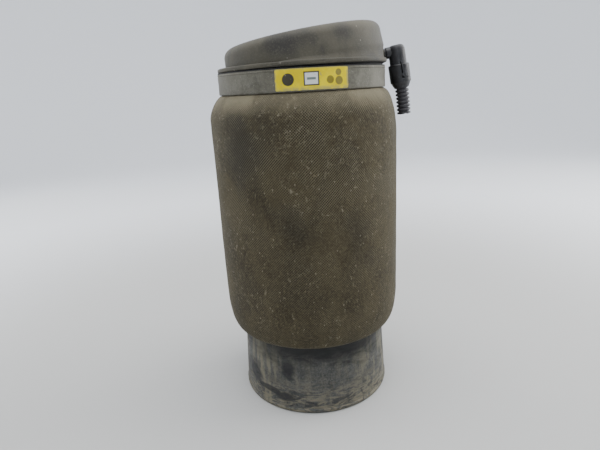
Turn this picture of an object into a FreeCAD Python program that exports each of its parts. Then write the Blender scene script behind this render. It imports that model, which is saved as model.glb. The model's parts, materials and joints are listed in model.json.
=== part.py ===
"""Rolling-lobe air spring for a vehicle's rear suspension, built as separate parts.

Units are millimetres. +Z is up and the origin is the centre of the piston's lower seat.
The spring's main axis is Z. The air fitting leaves the upper cap towards +X.
"""

import math
import os

import FreeCAD
import Part
import Sketcher

OUTPUT = "parts"
START, END = 1, 2
VERTICAL_AXIS = -2
LEFT, RIGHT = 1, -1

DRIVING = {
    # piston
    "seat_r": 62.9, "lip_r": 64.6, "lip_top": 3.2, "skirt_r": 64.1, "skirt_top_r": 61.6,
    "shoulder_z": 56.2, "shoulder_r": 50.0, "shoulder_turn": 36.0, "neck_r": 45.0, "neck_fillet": 10.0,
    "head_z": 130.0, "head_r": 48.0, "head_t": 5.0, "head_boss_r": 12.0, "head_boss_h": 24.0,
    "head_screw_r": 4.0, "vent_r": 4.0, "vent_at": 30.0, "barb_pitch": 5.0,
    "piston_wall": 3.4, "base_r": 60.1, "base_z": 8.0, "base_wall": 3.0, "boss_r": 17.0, "boss_top": 30.0,
    "rib_t": 2.5, "rib_ring_r": 40.0, "rib_foot": 1.0, "insert_r": 8.0, "insert_top": 24.0, "thread_r": 4.25,
    # sleeve
    "sleeve_t": 2.2, "sleeve_r": 75.0, "lobe_r": 66.0, "lobe_z": 62.2, "fold_r": 5.0, "lobe_top": 93.4,
    "sleeve_shoulder_z": 237.8, "sleeve_shoulder_r": 20.0, "sleeve_top": 270.4, "gap": 0.3, "leg_gap": 0.4,
    # upper end
    "ring_r": 66.0, "ring_t": 1.8, "ring_foot": 256.4, "ring_top": 271.9, "ring_edge": 0.7, "lip_t": 0.5,
    "closure_r": 65.8, "closure_foot": 246.0, "web_z": 248.0, "web_t": 5.0, "closure_wall": 4.2,
    "flange_r": 66.4, "flange_x": 0.9, "flange_z": 273.7, "flange_t": 3.0, "flange_tilt": 0.8,
    "flange_edge": 0.8, "dome_r": 62.8, "dome_x": 3.4, "dome_z": 276.0, "dome_rise": 21.5,
    "dome_draft": 5.7, "dome_tilt": 7.5, "dome_edge": 7.5, "dome_wall": 4.0,
    "socket_r": 57.0, "socket_foot": 262.0, "socket_wall": 4.0,
    # air fitting, in its own frame: its spigot lies along X and its leg hangs down along Z
    "port_x": 76.2, "port_z": 282.5, "port_tilt": 8.5, "leg_r": 6.6, "leg_top": 4.9,
    "hub_r": 4.35, "hub_x": 9.1, "boss_x": 10.4, "port_boss_r": 5.2, "bush_r": 4.2, "bush_bore": 3.45,
    "spigot_r": 3.4, "spigot_end": 26.0, "passage_r": 1.5, "clip_x": 16.5,
    "collar_r": 8.2, "collar_top": 9.9, "collar_foot": 23.8, "cone_foot": 27.8, "cone_r": 6.0,
    "flap_foot": 20.6, "flap_t": 1.4, "hinge_y": 10.15, "hinge_r": 1.6, "pin_r": 0.7, "lug_low": 3.0,
    "lug_high": 2.6, "pipe_seat": 11.4, "pipe_r": 3.0, "pipe_bore": 2.0,
    "conduit_bore": 3.9, "conduit_root": 4.7, "rib_r": 0.85, "rib_pitch": 2.95,
    "conduit_top": -4.5, "conduit_foot": 21.2, "conduit_bend": 3.5, "bend_r": 150.0,
    # parts inside
    "bump_r": 25.0, "bump_top": 176.0, "label_low": -16.0, "label_high": 28.0, "label_t": 0.15,
}
CLEARANCE = 0.2
RIBS = 9
BARBS = 3
BASE_RIBS = 8
HEAD_VENTS = 6
WEB_VENTS = 8


class Size:
    """A length that knows its number and the expression that binds it to the sheet."""

    def __init__(self, value, text):
        self.value = value
        self.text = text

    def __add__(self, other):
        other = size(other)
        return Size(self.value + other.value, f"({self.text} + {other.text})")

    def __sub__(self, other):
        other = size(other)
        return Size(self.value - other.value, f"({self.text} - {other.text})")

    def __mul__(self, other):
        other = size(other)
        return Size(self.value * other.value, f"({self.text} * {other.text})")

    def __truediv__(self, other):
        other = size(other)
        return Size(self.value / other.value, f"({self.text} / {other.text})")

    def __neg__(self):
        return Size(-self.value, f"(0 - {self.text})")

    __radd__ = __add__
    __rmul__ = __mul__

    def __rsub__(self, other):
        return size(other) - self


def size(value):
    return value if isinstance(value, Size) else Size(float(value), repr(float(value)))


def root(value):
    return Size(math.sqrt(value.value), f"sqrt({value.text})")


def sine(degrees):
    degrees = size(degrees)
    return Size(math.sin(math.radians(degrees.value)), f"sin({degrees.text})")


def cosine(degrees):
    degrees = size(degrees)
    return Size(math.cos(math.radians(degrees.value)), f"cos({degrees.text})")


def tangent(degrees):
    return sine(degrees) / cosine(degrees)


class Sizes:
    """The driving dimensions, each also a cell of the sheet."""

    def __init__(self, sheet, driving):
        for row, (name, value) in enumerate(driving.items(), start=1):
            sheet.set(f"A{row}", name)
            sheet.set(f"B{row}", str(value))
            sheet.setAlias(f"B{row}", name)
            setattr(self, name, Size(value, f"Sizes.{name}"))


doc = FreeCAD.newDocument("air_spring")
sheet = doc.addObject("Spreadsheet::Sheet", "Sizes")
d = Sizes(sheet, DRIVING)
doc.recompute()
finished = []


# ---------------------------------------------------------------- building blocks


def new_body(name):
    body = doc.addObject("PartDesign::Body", name)
    body.Label = name
    finished.append(body)
    return body


def origin_part(body, role):
    return next(f for f in body.Origin.OriginFeatures if f.Role == role)


def bind(target, path, value):
    target.setExpression(path, size(value).text)


def offset_attachment(target, x=0, y=0, z=0, axis=None, angle=0):
    """Shifts an attached sketch or primitive, and turns it about an axis, in its plane's frame."""
    if axis:
        rotation = FreeCAD.Rotation(axis, size(angle).value)
        target.AttachmentOffset = FreeCAD.Placement(FreeCAD.Vector(), rotation)
        bind(target, "AttachmentOffset.Rotation.Angle", angle)
    for letter, value in zip("xyz", (x, y, z)):
        bind(target, f"AttachmentOffset.Base.{letter}", value)


def place(body, x, y, z, angle=0):
    """Puts a finished body at a point, turned about Y."""
    body.Placement = FreeCAD.Placement(
        FreeCAD.Vector(size(x).value, size(y).value, size(z).value),
        FreeCAD.Rotation(FreeCAD.Vector(0, 1, 0), size(angle).value),
    )
    for letter, value in zip("xyz", (x, y, z)):
        bind(body, f"Placement.Base.{letter}", value)


def new_sketch(body, plane="XZ_Plane"):
    sketch = body.newObject("Sketcher::SketchObject", f"{body.Name}_outline")
    sketch.AttachmentSupport = [(origin_part(body, plane), "")]
    sketch.MapMode = "FlatFace"
    return sketch


def arc_between(first, last, radius, turn):
    """The minor arc from first to last that turns LEFT or RIGHT, as a counter-clockwise curve."""
    chord = last - first
    side = FreeCAD.Vector(-chord.y, chord.x, 0).normalize()
    height = math.sqrt(max(radius**2 - (chord.Length / 2) ** 2, 0))
    centre = (first + last) * 0.5 + side * (height * turn)
    ends = [math.atan2((p - centre).y, (p - centre).x) for p in (first, last)]
    if turn == RIGHT:
        ends.reverse()
    if ends[1] < ends[0]:
        ends[1] += 2 * math.pi
    return Part.ArcOfCircle(Part.Circle(centre, FreeCAD.Vector(0, 0, 1), radius), *ends)


def fix_point(sketch, edge, spot, x, y):
    """Binds one end of an edge to its two coordinates."""
    for kind, value in (("DistanceX", size(x)), ("DistanceY", size(y))):
        if kind == "DistanceX" and value.value == 0:
            sketch.addConstraint(Sketcher.Constraint("PointOnObject", edge, spot, VERTICAL_AXIS))
            continue
        index = sketch.addConstraint(Sketcher.Constraint(kind, edge, spot, value.value))
        sketch.renameConstraint(index, f"{kind}_{edge}")
        bind(sketch, f"Constraints.{kind}_{edge}", value)


def draw_outline(sketch, corners):
    """Draws a closed outline.

    A corner is (x, y), reached by a line, or (x, y, radius, turn), reached by an arc.
    """
    spots = [FreeCAD.Vector(size(c[0]).value, size(c[1]).value, 0) for c in corners]
    starts, ends = [], []
    for i, corner in enumerate(corners):
        clockwise = len(corner) == 4 and corner[3] == RIGHT
        if len(corner) == 4:
            sketch.addGeometry(arc_between(spots[i - 1], spots[i], size(corner[2]).value, corner[3]))
        else:
            sketch.addGeometry(Part.LineSegment(spots[i - 1], spots[i]))
        starts.append(END if clockwise else START)
        ends.append(START if clockwise else END)
    for i, corner in enumerate(corners):
        following = (i + 1) % len(corners)
        sketch.addConstraint(Sketcher.Constraint("Coincident", i, ends[i], following, starts[following]))
        fix_point(sketch, i, ends[i], corner[0], corner[1])
        if len(corner) == 4:
            index = sketch.addConstraint(Sketcher.Constraint("Radius", i, size(corner[2]).value))
            sketch.renameConstraint(index, f"Radius_{i}")
            bind(sketch, f"Constraints.Radius_{i}", corner[2])


def revolve(body, sketch, axis, groove, angle=360, backwards=False):
    """Turns a sketch about one of its own axes, to add material or to cut it away."""
    kind = "Groove" if groove else "Revolution"
    feature = body.newObject(f"PartDesign::{kind}", f"{body.Name}_turn")
    feature.Profile = sketch
    feature.ReferenceAxis = (sketch, [axis])
    feature.Reversed = backwards
    bind(feature, "Angle", angle)
    sketch.Visibility = False
    doc.recompute()


def turned(body, corners, groove=False, angle=360, outboard=False, x=0, z=0, lean=0):
    """Adds or cuts a solid of revolution, from an outline of (radius, height) corners.

    Its axis is Z moved to x and z, and lean raises its +X side. It starts at +X and turns towards +Y.
    An outboard one starts at +Y and turns towards +X.
    """
    sketch = new_sketch(body, "YZ_Plane" if outboard else "XZ_Plane")
    if size(lean).value:
        offset_attachment(sketch, x=x, y=z, axis=FreeCAD.Vector(0, 0, 1), angle=lean)
    draw_outline(sketch, corners)
    revolve(body, sketch, "V_Axis", groove, angle, outboard)


def primitive(body, kind, sizes, **offset):
    """Adds a PartDesign primitive, such as AdditiveCylinder, with bound sizes."""
    feature = body.newObject(f"PartDesign::{kind}", f"{body.Name}_{kind}")
    feature.AttachmentSupport = [(origin_part(body, "XY_Plane"), "")]
    feature.MapMode = "FlatFace"
    for name, value in sizes.items():
        bind(feature, name, value)
    offset_attachment(feature, **offset)
    doc.recompute()
    return feature


def around(body, feature, count):
    """Repeats a feature evenly about Z."""
    pattern = body.newObject("PartDesign::PolarPattern", f"{body.Name}_around")
    pattern.Originals = [feature]
    pattern.Axis = (origin_part(body, "Z_Axis"), [""])
    pattern.Angle = 360
    pattern.Occurrences = count
    body.Tip = pattern
    doc.recompute()
    return pattern


def along_x(body, kind, radius, start, length, z=0):
    """A round bar or hole whose axis runs along +X from start."""
    return primitive(
        body, kind, {"Radius": radius, "Height": length},
        x=start, z=z, axis=FreeCAD.Vector(0, 1, 0), angle=90,
    )


def rounded(body, feature, choose, radius):
    """Rounds the edges of the feature that choose picks."""
    names = [f"Edge{i}" for i, edge in enumerate(feature.Shape.Edges, start=1) if choose(edge)]
    fillet = body.newObject("PartDesign::Fillet", f"{body.Name}_round")
    fillet.Base = (feature, names)
    bind(fillet, "Radius", radius)
    doc.recompute()
    return fillet


def round_ring(name, ring_r, wire_r, z=0):
    """A torus about Z, such as an O-ring."""
    body = new_body(name)
    primitive(body, "AdditiveTorus", {"Radius1": ring_r, "Radius2": wire_r}, z=z)
    return body


# ---------------------------------------------------------------- piston


def piston_contour(offset, upwards=True):
    """The piston's flank from its skirt to its neck, moved outwards by offset.

    It is a long convex arc, a straight slope and a concave fillet, each tangent to the next.
    """
    centre_r = d.skirt_top_r - d.shoulder_r
    big = d.shoulder_r + offset
    small = d.neck_fillet - offset
    turn = d.shoulder_turn
    slope_end_r = d.neck_r + d.neck_fillet * (1 - cosine(turn))
    slope = (centre_r + d.shoulder_r * cosine(turn) - slope_end_r) / sine(turn)
    fillet_r = d.neck_r + d.neck_fillet
    fillet_z = d.shoulder_z + (d.shoulder_r + d.neck_fillet) * sine(turn) + slope * cosine(turn)
    convex_end = (centre_r + big * cosine(turn), d.shoulder_z + big * sine(turn))
    fillet_start = (fillet_r - small * cosine(turn), fillet_z - small * sine(turn))
    fillet_end = (fillet_r - small, fillet_z)
    if upwards:
        return [(*convex_end, big, LEFT), fillet_start, (*fillet_end, small, RIGHT)]
    return [fillet_end, (*fillet_start, small, LEFT), convex_end], big


def piston_shell():
    """The moulded piston: skirt, rounded shoulder, barbed neck and a vented head with a screw boss."""
    body = new_body("piston_shell")
    wall = d.piston_wall
    inner_down, inner_big = piston_contour(-wall, upwards=False)
    ledge_z = d.base_z + d.base_wall + CLEARANCE
    turned(body, [
        (d.base_r, 0),
        (d.seat_r, 0),
        (d.lip_r, 1.6, 1.6, LEFT),
        (d.lip_r, d.lip_top),
        (d.skirt_r, d.lip_top + 0.8),
        (d.skirt_top_r, d.shoulder_z),
        *piston_contour(0),
        (d.neck_r, d.head_z - 4),
        (d.head_r, d.head_z - 4),
        (d.head_r, d.head_z - 1),
        (d.head_r - 1, d.head_z, 1, LEFT),
        (0, d.head_z),
        (0, d.head_z - d.head_boss_h),
        (d.head_boss_r, d.head_z - d.head_boss_h),
        (d.head_boss_r, d.head_z - d.head_t),
        (d.neck_r - wall, d.head_z - d.head_t),
        *inner_down,
        (d.skirt_top_r - wall, d.shoulder_z, inner_big, RIGHT),
        (d.base_r - 1, ledge_z),
        (d.base_r, ledge_z),
    ])
    for step in range(BARBS):
        foot = d.head_z - 9 - d.barb_pitch * step
        turned(body, [
            (d.neck_r - 0.8, foot),
            (d.neck_r + 1, foot - 0.9),
            (d.neck_r + 1, foot + 0.9),
        ], groove=True)
    primitive(body, "SubtractiveCylinder", {"Radius": d.head_screw_r, "Height": 26}, z=d.head_z - 20)
    vent = primitive(
        body, "SubtractiveCylinder", {"Radius": d.vent_r, "Height": 2 * d.head_t},
        x=d.vent_at, z=d.head_z - 1.5 * d.head_t,
    )
    around(body, vent, HEAD_VENTS)


def piston_base():
    """The piston's floor: a plate on a ring rib, eight radial ribs and a threaded boss."""
    body = new_body("piston_base")
    edge = d.base_r - CLEARANCE
    turned(body, [
        (d.insert_r + 0.02, 0),
        (d.boss_r - 1, 0),
        (d.boss_r, 1),
        (d.boss_r, d.base_z),
        (d.rib_ring_r - d.rib_t, d.base_z),
        (d.rib_ring_r - d.rib_t, d.rib_foot),
        (d.rib_ring_r, d.rib_foot),
        (d.rib_ring_r, d.base_z),
        (edge - 3, d.base_z),
        (edge - 3, d.rib_foot),
        (edge, d.rib_foot),
        (edge, d.base_z + d.base_wall),
        (d.boss_r, d.base_z + d.base_wall),
        (d.boss_r - 2, d.boss_top),
        (0, d.boss_top),
        (0, d.insert_top + 0.5),
        (d.insert_r + 0.02, d.insert_top + 0.5),
    ])
    rib = primitive(
        body, "AdditiveBox",
        {"Length": edge - 1 - d.boss_r, "Width": d.rib_t, "Height": d.base_z - d.rib_foot + 0.5},
        x=d.boss_r - 0.5, y=-d.rib_t / 2, z=d.rib_foot,
    )
    around(body, rib, BASE_RIBS)


def mount_insert():
    """The steel insert that takes the lower mounting screw."""
    body = new_body("mount_insert")
    grip = d.insert_r - 0.9
    turned(body, [
        (d.thread_r, 0),
        (d.insert_r, 0),
        (d.insert_r, 5),
        (grip, 5),
        (grip, 8),
        (d.insert_r, 8),
        (d.insert_r, 15),
        (grip, 15),
        (grip, 18),
        (d.insert_r, 18),
        (d.insert_r, d.insert_top),
        (0, d.insert_top),
        (0, d.insert_top - 2),
        (d.thread_r, d.insert_top - 2),
    ])


def bump_stop():
    """The cellular rubber buffer that ends the compression stroke, with two waists."""
    body = new_body("bump_stop")
    foot = d.head_z + 2.2
    turned(body, [
        (12, foot),
        (d.bump_r - 2, foot),
        (d.bump_r, foot + 2, 2, LEFT),
        (d.bump_r, foot + 9),
        (d.bump_r - 4, foot + 12.5, 4, LEFT),
        (d.bump_r - 2, foot + 16, 4, RIGHT),
        (d.bump_r - 2, foot + 22),
        (d.bump_r - 6, foot + 25.5, 4, LEFT),
        (d.bump_r - 5, foot + 29, 4, RIGHT),
        (d.bump_r - 6, d.bump_top - 7),
        (d.bump_r - 12, d.bump_top, 8, LEFT),
        (9.5, d.bump_top),
        (9.5, foot + 6),
        (12, foot + 6),
    ])


def bump_stop_fixings():
    """A dished washer under the buffer's foot, and the screw that holds it to the piston head."""
    washer = new_body("bump_stop_washer")
    turned(washer, [
        (4.3, d.head_z), (d.bump_r + 1, d.head_z), (d.bump_r + 1, d.head_z + 2), (11.8, d.head_z + 2),
        (11.8, d.head_z + 8), (9, d.head_z + 8), (9, d.head_z + 2), (4.3, d.head_z + 2),
    ])
    screw = new_body("bump_stop_screw")
    turned(screw, [
        (0, d.head_z - 17), (3.2, d.head_z - 17), (3.9, d.head_z - 16), (3.9, d.head_z + 2.05),
        (7, d.head_z + 2.05), (7, d.head_z + 5), (5.5, d.head_z + 6.5, 3, LEFT), (0, d.head_z + 6.5),
    ])
    primitive(
        screw, "SubtractivePrism", {"Polygon": 6, "Circumradius": 2.9, "Height": 6}, z=d.head_z + 3.2,
    )


def lower_crimp_ring():
    """The steel band that clamps the sleeve's inner leg to the piston's neck."""
    leg_r = d.neck_r + d.leg_gap + d.sleeve_t + d.gap
    body = new_body("lower_crimp_ring")
    turned(body, [
        (leg_r, d.head_z - 23), (leg_r + 1.6, d.head_z - 23), (leg_r + 2.4, d.head_z - 22.2, 0.8, LEFT),
        (leg_r + 2.4, d.head_z - 7.3), (leg_r + 1.6, d.head_z - 6.5, 0.8, LEFT), (leg_r, d.head_z - 6.5),
    ])


# ---------------------------------------------------------------- sleeve


def fold_centre_z():
    return d.lobe_z + d.fold_r


def bellows_inner_leg():
    """The rubber sleeve where it lies on the piston, from its crimped end to the lobe's lowest line."""
    body = new_body("bellows_inner_leg")
    near, far = d.leg_gap, d.leg_gap + d.sleeve_t
    centre_r = d.skirt_top_r - d.shoulder_r
    reach = d.shoulder_r + near + d.fold_r
    across = (d.lobe_r - centre_r) / reach
    along = (fold_centre_z() - d.shoulder_z) / reach
    split = d.lobe_r - 0.1
    top = d.head_z - 5
    near_r, far_r = d.shoulder_r + near, d.shoulder_r + far
    near_join = (centre_r + near_r * across, d.shoulder_z + near_r * along)
    far_join = (centre_r + far_r * across, d.shoulder_z + far_r * along)
    far_down, far_big = piston_contour(far, upwards=False)
    turned(body, [
        (split, d.lobe_z),
        (*near_join, d.fold_r, RIGHT),
        *piston_contour(near),
        (d.neck_r + near, top),
        (d.neck_r + far, top),
        *far_down,
        (*far_join, far_big, RIGHT),
        (split, d.lobe_z + d.sleeve_t, d.fold_r - d.sleeve_t, LEFT),
    ])


def bellows():
    """The rubber sleeve's outer leg and rolling lobe, from the lobe's lowest line to the upper crimp."""
    body = new_body("bellows")
    t = d.sleeve_t
    fold, rise = d.fold_r, d.lobe_top - fold_centre_z()
    width = d.sleeve_r - d.lobe_r
    flank_r = (rise * rise + width * width - fold * fold) / (2 * (width - fold))
    reach = flank_r - fold
    across = (reach - (width - fold)) / reach
    along = rise / reach
    outer_join = (d.lobe_r + fold * across, fold_centre_z() - fold * along)
    inner_join = (d.lobe_r + (fold - t) * across, fold_centre_z() - (fold - t) * along)
    split = d.lobe_r + 0.1
    crimp_r = d.ring_r - d.ring_t - d.gap
    bulge = d.sleeve_shoulder_r
    hollow = size(1)
    # the shoulder is a convex arc and a small hollow one, tangent where both lean by the same angle
    lean = (d.sleeve_r - crimp_r) / (bulge + hollow)
    lean_cos = 1 - lean
    lean_sin = root(1 - lean_cos * lean_cos)
    shoulder_z = d.sleeve_shoulder_z
    hollow_z = shoulder_z + (bulge + hollow) * lean_sin

    def shoulder_point(radius):
        return (d.sleeve_r - bulge + radius * lean_cos, shoulder_z + radius * lean_sin)

    turned(body, [
        (split, d.lobe_z),
        (*outer_join, fold, LEFT),
        (d.sleeve_r, d.lobe_top, flank_r, LEFT),
        (d.sleeve_r, shoulder_z),
        (*shoulder_point(bulge), bulge, LEFT),
        (crimp_r, hollow_z, hollow, RIGHT),
        (crimp_r, d.sleeve_top),
        (crimp_r - t, d.sleeve_top),
        (crimp_r - t, hollow_z),
        (*shoulder_point(bulge - t), hollow + t, LEFT),
        (d.sleeve_r - t, shoulder_z, bulge - t, RIGHT),
        (d.sleeve_r - t, d.lobe_top),
        (*inner_join, flank_r - t, RIGHT),
        (split, d.lobe_z + t, fold - t, RIGHT),
    ])


# ---------------------------------------------------------------- upper end


def upper_crimp_ring():
    """The swaged metal band that clamps the sleeve to the closure."""
    body = new_body("upper_crimp_ring")
    edge = d.ring_edge
    inner = d.ring_r - d.ring_t
    turned(body, [
        (inner, d.ring_foot),
        (d.ring_r - edge, d.ring_foot),
        (d.ring_r, d.ring_foot + edge, edge, LEFT),
        (d.ring_r, d.ring_top - edge),
        (d.ring_r - edge, d.ring_top, edge, LEFT),
        (inner - 1.5, d.ring_top),
        (inner - 1.5, d.ring_top - 1),
        (inner, d.ring_top - 1),
    ])


def info_label():
    """A plain label stuck on the band."""
    body = new_body("info_label")
    turned(body, [
        (d.ring_r + 0.02, d.ring_foot + 1.0),
        (d.ring_r + 0.02 + d.label_t, d.ring_foot + 1.0),
        (d.ring_r + 0.02 + d.label_t, d.ring_top - 0.3),
        (d.ring_r + 0.02, d.ring_top - 0.3),
    ], angle=d.label_high - d.label_low)
    turn = DRIVING["label_low"] - 90
    body.Placement = FreeCAD.Placement(FreeCAD.Vector(), FreeCAD.Rotation(FreeCAD.Vector(0, 0, 1), turn))


def closure_ring():
    """The moulded closure: a barbed spigot inside the sleeve, a web for the buffer, and a thin lip."""
    body = new_body("closure_ring")
    spigot = d.ring_r - d.ring_t - 2 * d.gap - d.sleeve_t
    lip_foot = d.ring_top + 0.1
    turned(body, [
        (0, d.web_z),
        (spigot - d.closure_wall, d.web_z),
        (spigot - d.closure_wall, d.closure_foot),
        (spigot - 1.5, d.closure_foot),
        (spigot, d.closure_foot + 1.5, 1.5, LEFT),
        (spigot, lip_foot),
        (d.closure_r, lip_foot),
        (d.closure_r, lip_foot + d.lip_t),
        (spigot - d.closure_wall + 0.6, lip_foot + d.lip_t),
        (spigot - d.closure_wall + 0.6, d.socket_foot - 1),
        (spigot - d.closure_wall, d.socket_foot - 1),
        (spigot - d.closure_wall, d.web_z + d.web_t),
        (0, d.web_z + d.web_t),
    ])
    for step in range(BARBS):
        foot = d.ring_foot + 3.5 + 4.5 * step
        turned(body, [
            (spigot - 0.8, foot), (spigot + 1, foot - 1), (spigot + 1, foot + 1),
        ], groove=True)
    vent = primitive(body, "SubtractiveCylinder", {"Radius": 5, "Height": 12}, x=42, z=d.web_z - 3)
    around(body, vent, WEB_VENTS)


def dome_frame(rise):
    """Where a point on the dome's own tilted axis lies, a given rise above the dome's base centre."""
    return {
        "x": d.dome_x - rise * sine(d.dome_tilt),
        "z": d.dome_z + rise * cosine(d.dome_tilt),
        "axis": FreeCAD.Vector(0, -1, 0),
        "angle": d.dome_tilt,
    }


def dome_cone(body, kind, wall, low, high):
    """A drafted plug of the dome's shape, thinner by wall, between two rises along the dome's axis."""
    slope = tangent(d.dome_draft)
    return primitive(body, kind, {
        "Radius1": d.dome_r - wall - low * slope,
        "Radius2": d.dome_r - wall - high * slope,
        "Height": high - low,
    }, **dome_frame(low))


def upper_cap():
    """The hollow slanted dome that seats in the vehicle, with its flange, socket and air port."""
    body = new_body("upper_cap")
    low = size(-14)
    dome = dome_cone(body, "AdditiveCone", size(0), low, d.dome_rise)
    top = max(edge.CenterOfMass.z for edge in dome.Shape.Edges if len(edge.Vertexes) == 1)
    rounded(
        body, dome, lambda edge: len(edge.Vertexes) == 1 and edge.CenterOfMass.z > top - 1, d.dome_edge,
    )
    flange_level = {"axis": FreeCAD.Vector(0, -1, 0), "angle": d.flange_tilt}
    primitive(
        body, "SubtractiveBox", {"Length": 240, "Width": 240, "Height": 40},
        x=-120, y=-120, z=d.flange_z + d.flange_t - 1 - 40 - 120 * sine(d.flange_tilt), **flange_level,
    )
    edge = d.flange_edge
    turned(body, [
        (0, 0), (d.flange_r - edge, 0), (d.flange_r, edge, edge, LEFT), (d.flange_r, d.flange_t - edge),
        (d.flange_r - edge, d.flange_t, edge, LEFT), (0, d.flange_t),
    ], x=d.flange_x, z=d.flange_z, lean=d.flange_tilt)
    primitive(
        body, "AdditiveCylinder", {"Radius": d.socket_r, "Height": d.flange_z + 1 - d.socket_foot},
        z=d.socket_foot,
    )
    # index lug on the rim, below the port
    primitive(
        body, "AdditiveBox", {"Length": 4, "Width": 7, "Height": 1.8},
        x=d.flange_r + d.flange_x - 2.6, y=-3.5, z=d.flange_z + 1.2,
    )
    dome_cone(body, "SubtractiveCone", d.dome_wall, size(2), d.dome_rise - d.dome_wall)
    bore = d.socket_r - d.socket_wall
    primitive(
        body, "SubtractiveCylinder", {"Radius": bore, "Height": d.dome_z + 11 - d.socket_foot},
        z=d.socket_foot - 5,
    )
    turned(body, [
        (d.socket_r - 1.6, d.socket_foot + 3), (d.socket_r + 1, d.socket_foot + 3),
        (d.socket_r + 1, d.socket_foot + 6.4), (d.socket_r - 1.6, d.socket_foot + 6.4),
    ], groove=True)
    port_axis = {"axis": FreeCAD.Vector(0, 1, 0), "angle": 90 - d.port_tilt}

    def port_bar(kind, radius, nearest, furthest):
        """A bar or hole on the port's axis, between two distances inboard of the fitting's centre."""
        primitive(
            body, kind, {"Radius": radius, "Height": furthest - nearest},
            x=d.port_x - furthest * cosine(d.port_tilt), z=d.port_z - furthest * sine(d.port_tilt),
            **port_axis,
        )

    port_bar("AdditiveCylinder", d.port_boss_r, d.boss_x, d.spigot_end + 3)
    port_bar("SubtractiveCylinder", d.bush_r + 0.05, d.boss_x - 1, d.spigot_end + 0.5)
    port_bar("SubtractiveCylinder", size(2.5), d.boss_x - 1, d.spigot_end + 6)


def cap_o_ring():
    """The seal in the socket's groove."""
    round_ring("cap_o_ring", d.socket_r - 0.45, size(1.1), z=d.socket_foot + 4.7)


# ---------------------------------------------------------------- air fitting


def to_port(body):
    """Moves a body from the fitting's own frame to its place on the cap."""
    place(body, d.port_x, 0, d.port_z, -d.port_tilt)


def turned_about_x(body, corners, groove=False):
    """A solid of revolution about X, from (x, radius) corners."""
    sketch = new_sketch(body)
    draw_outline(sketch, corners)
    revolve(body, sketch, "H_Axis", groove)


def port_insert():
    """The brass bush pressed into the cap's port boss, with a groove for the spigot's clip."""
    body = new_body("port_insert")
    groove = d.bush_bore + 0.4
    turned_about_x(body, [
        (-d.clip_x - 0.7, d.bush_bore), (-d.clip_x - 0.7, groove), (-d.clip_x + 0.7, groove),
        (-d.clip_x + 0.7, d.bush_bore), (-d.boss_x, d.bush_bore), (-d.boss_x, d.bush_r),
        (1 - d.spigot_end, d.bush_r), (1 - d.spigot_end, d.bush_bore),
    ])
    to_port(body)


def elbow_body():
    """The moulded elbow: a spigot that swivels in the port, an upright leg and half of the collar."""
    body = new_body("elbow_body")
    turned(body, [
        (0, -d.cone_foot), (d.cone_r, -d.cone_foot), (d.collar_r - 0.7, -d.collar_foot - 1.2),
        (d.collar_r, -d.collar_foot, 1.4, LEFT), (d.collar_r, -d.collar_top - 1),
        (d.collar_r - 1, -d.collar_top, 1, LEFT), (d.leg_r, -d.collar_top), (d.leg_r, d.leg_top - 2.4),
        (d.leg_r - 2.4, d.leg_top, 2.4, LEFT), (0, d.leg_top),
    ])
    along_x(body, "AdditiveCylinder", d.hub_r, -d.hub_x, d.hub_x)
    along_x(body, "AdditiveCylinder", d.spigot_r, -d.spigot_end, d.spigot_end)
    for centre, width, root_r in (
        (2.8 - d.spigot_end, 1.2, d.spigot_r - 0.95),
        (5.4 - d.spigot_end, 1.2, d.spigot_r - 0.95),
        (-d.clip_x, 1.2, d.spigot_r - 0.7),
    ):
        turned_about_x(body, [
            (centre - width / 2, root_r), (centre + width / 2, root_r),
            (centre + width / 2, d.spigot_r + 1), (centre - width / 2, d.spigot_r + 1),
        ], groove=True)
    # lugs that carry the flap's hinge pin, above and below the flap's knuckle
    for foot, height in ((-d.flap_foot, d.lug_low), (-d.collar_top - d.lug_high, d.lug_high)):
        primitive(body, "AdditiveCylinder", {"Radius": d.hinge_r, "Height": height}, y=d.hinge_y, z=foot)
        primitive(
            body, "AdditiveBox", {"Length": 2 * d.hinge_r, "Width": 3.0, "Height": height},
            x=-2 * d.hinge_r, y=d.hinge_y - 3.2, z=foot,
        )
    # the outboard half of the collar is open for the flap
    inside, outside = d.leg_r + 0.05, d.collar_r + 1
    turned(body, [
        (inside, -d.flap_foot), (outside, -d.flap_foot),
        (outside, 1 - d.collar_top), (inside, 1 - d.collar_top),
    ], groove=True, angle=180, outboard=True)
    pin_hole(body, 0.02)
    # the socket for pipe and conduit, and the air passage
    socket_r, collet_r, pipe_r = d.conduit_root + 0.85, size(4.4), d.pipe_r + 0.05
    turned(body, [
        (0, -d.cone_foot - 1), (socket_r, -d.cone_foot - 1), (socket_r, -d.pipe_seat - 9.4),
        (collet_r, -d.pipe_seat - 9.4), (collet_r, -d.pipe_seat - 1.5), (pipe_r, -d.pipe_seat - 1.5),
        (pipe_r, -d.pipe_seat), (d.passage_r, -d.pipe_seat), (d.passage_r, 2), (0, 2),
    ], groove=True)
    along_x(body, "SubtractiveCylinder", d.passage_r, -d.spigot_end - 1, d.spigot_end + 1)
    to_port(body)


def pin_hole(body, clearance):
    """Drills the hinge pin's hole right through a body."""
    primitive(
        body, "SubtractiveCylinder", {"Radius": d.pin_r + clearance, "Height": 20},
        y=d.hinge_y, z=-d.flap_foot - 1,
    )


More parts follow.
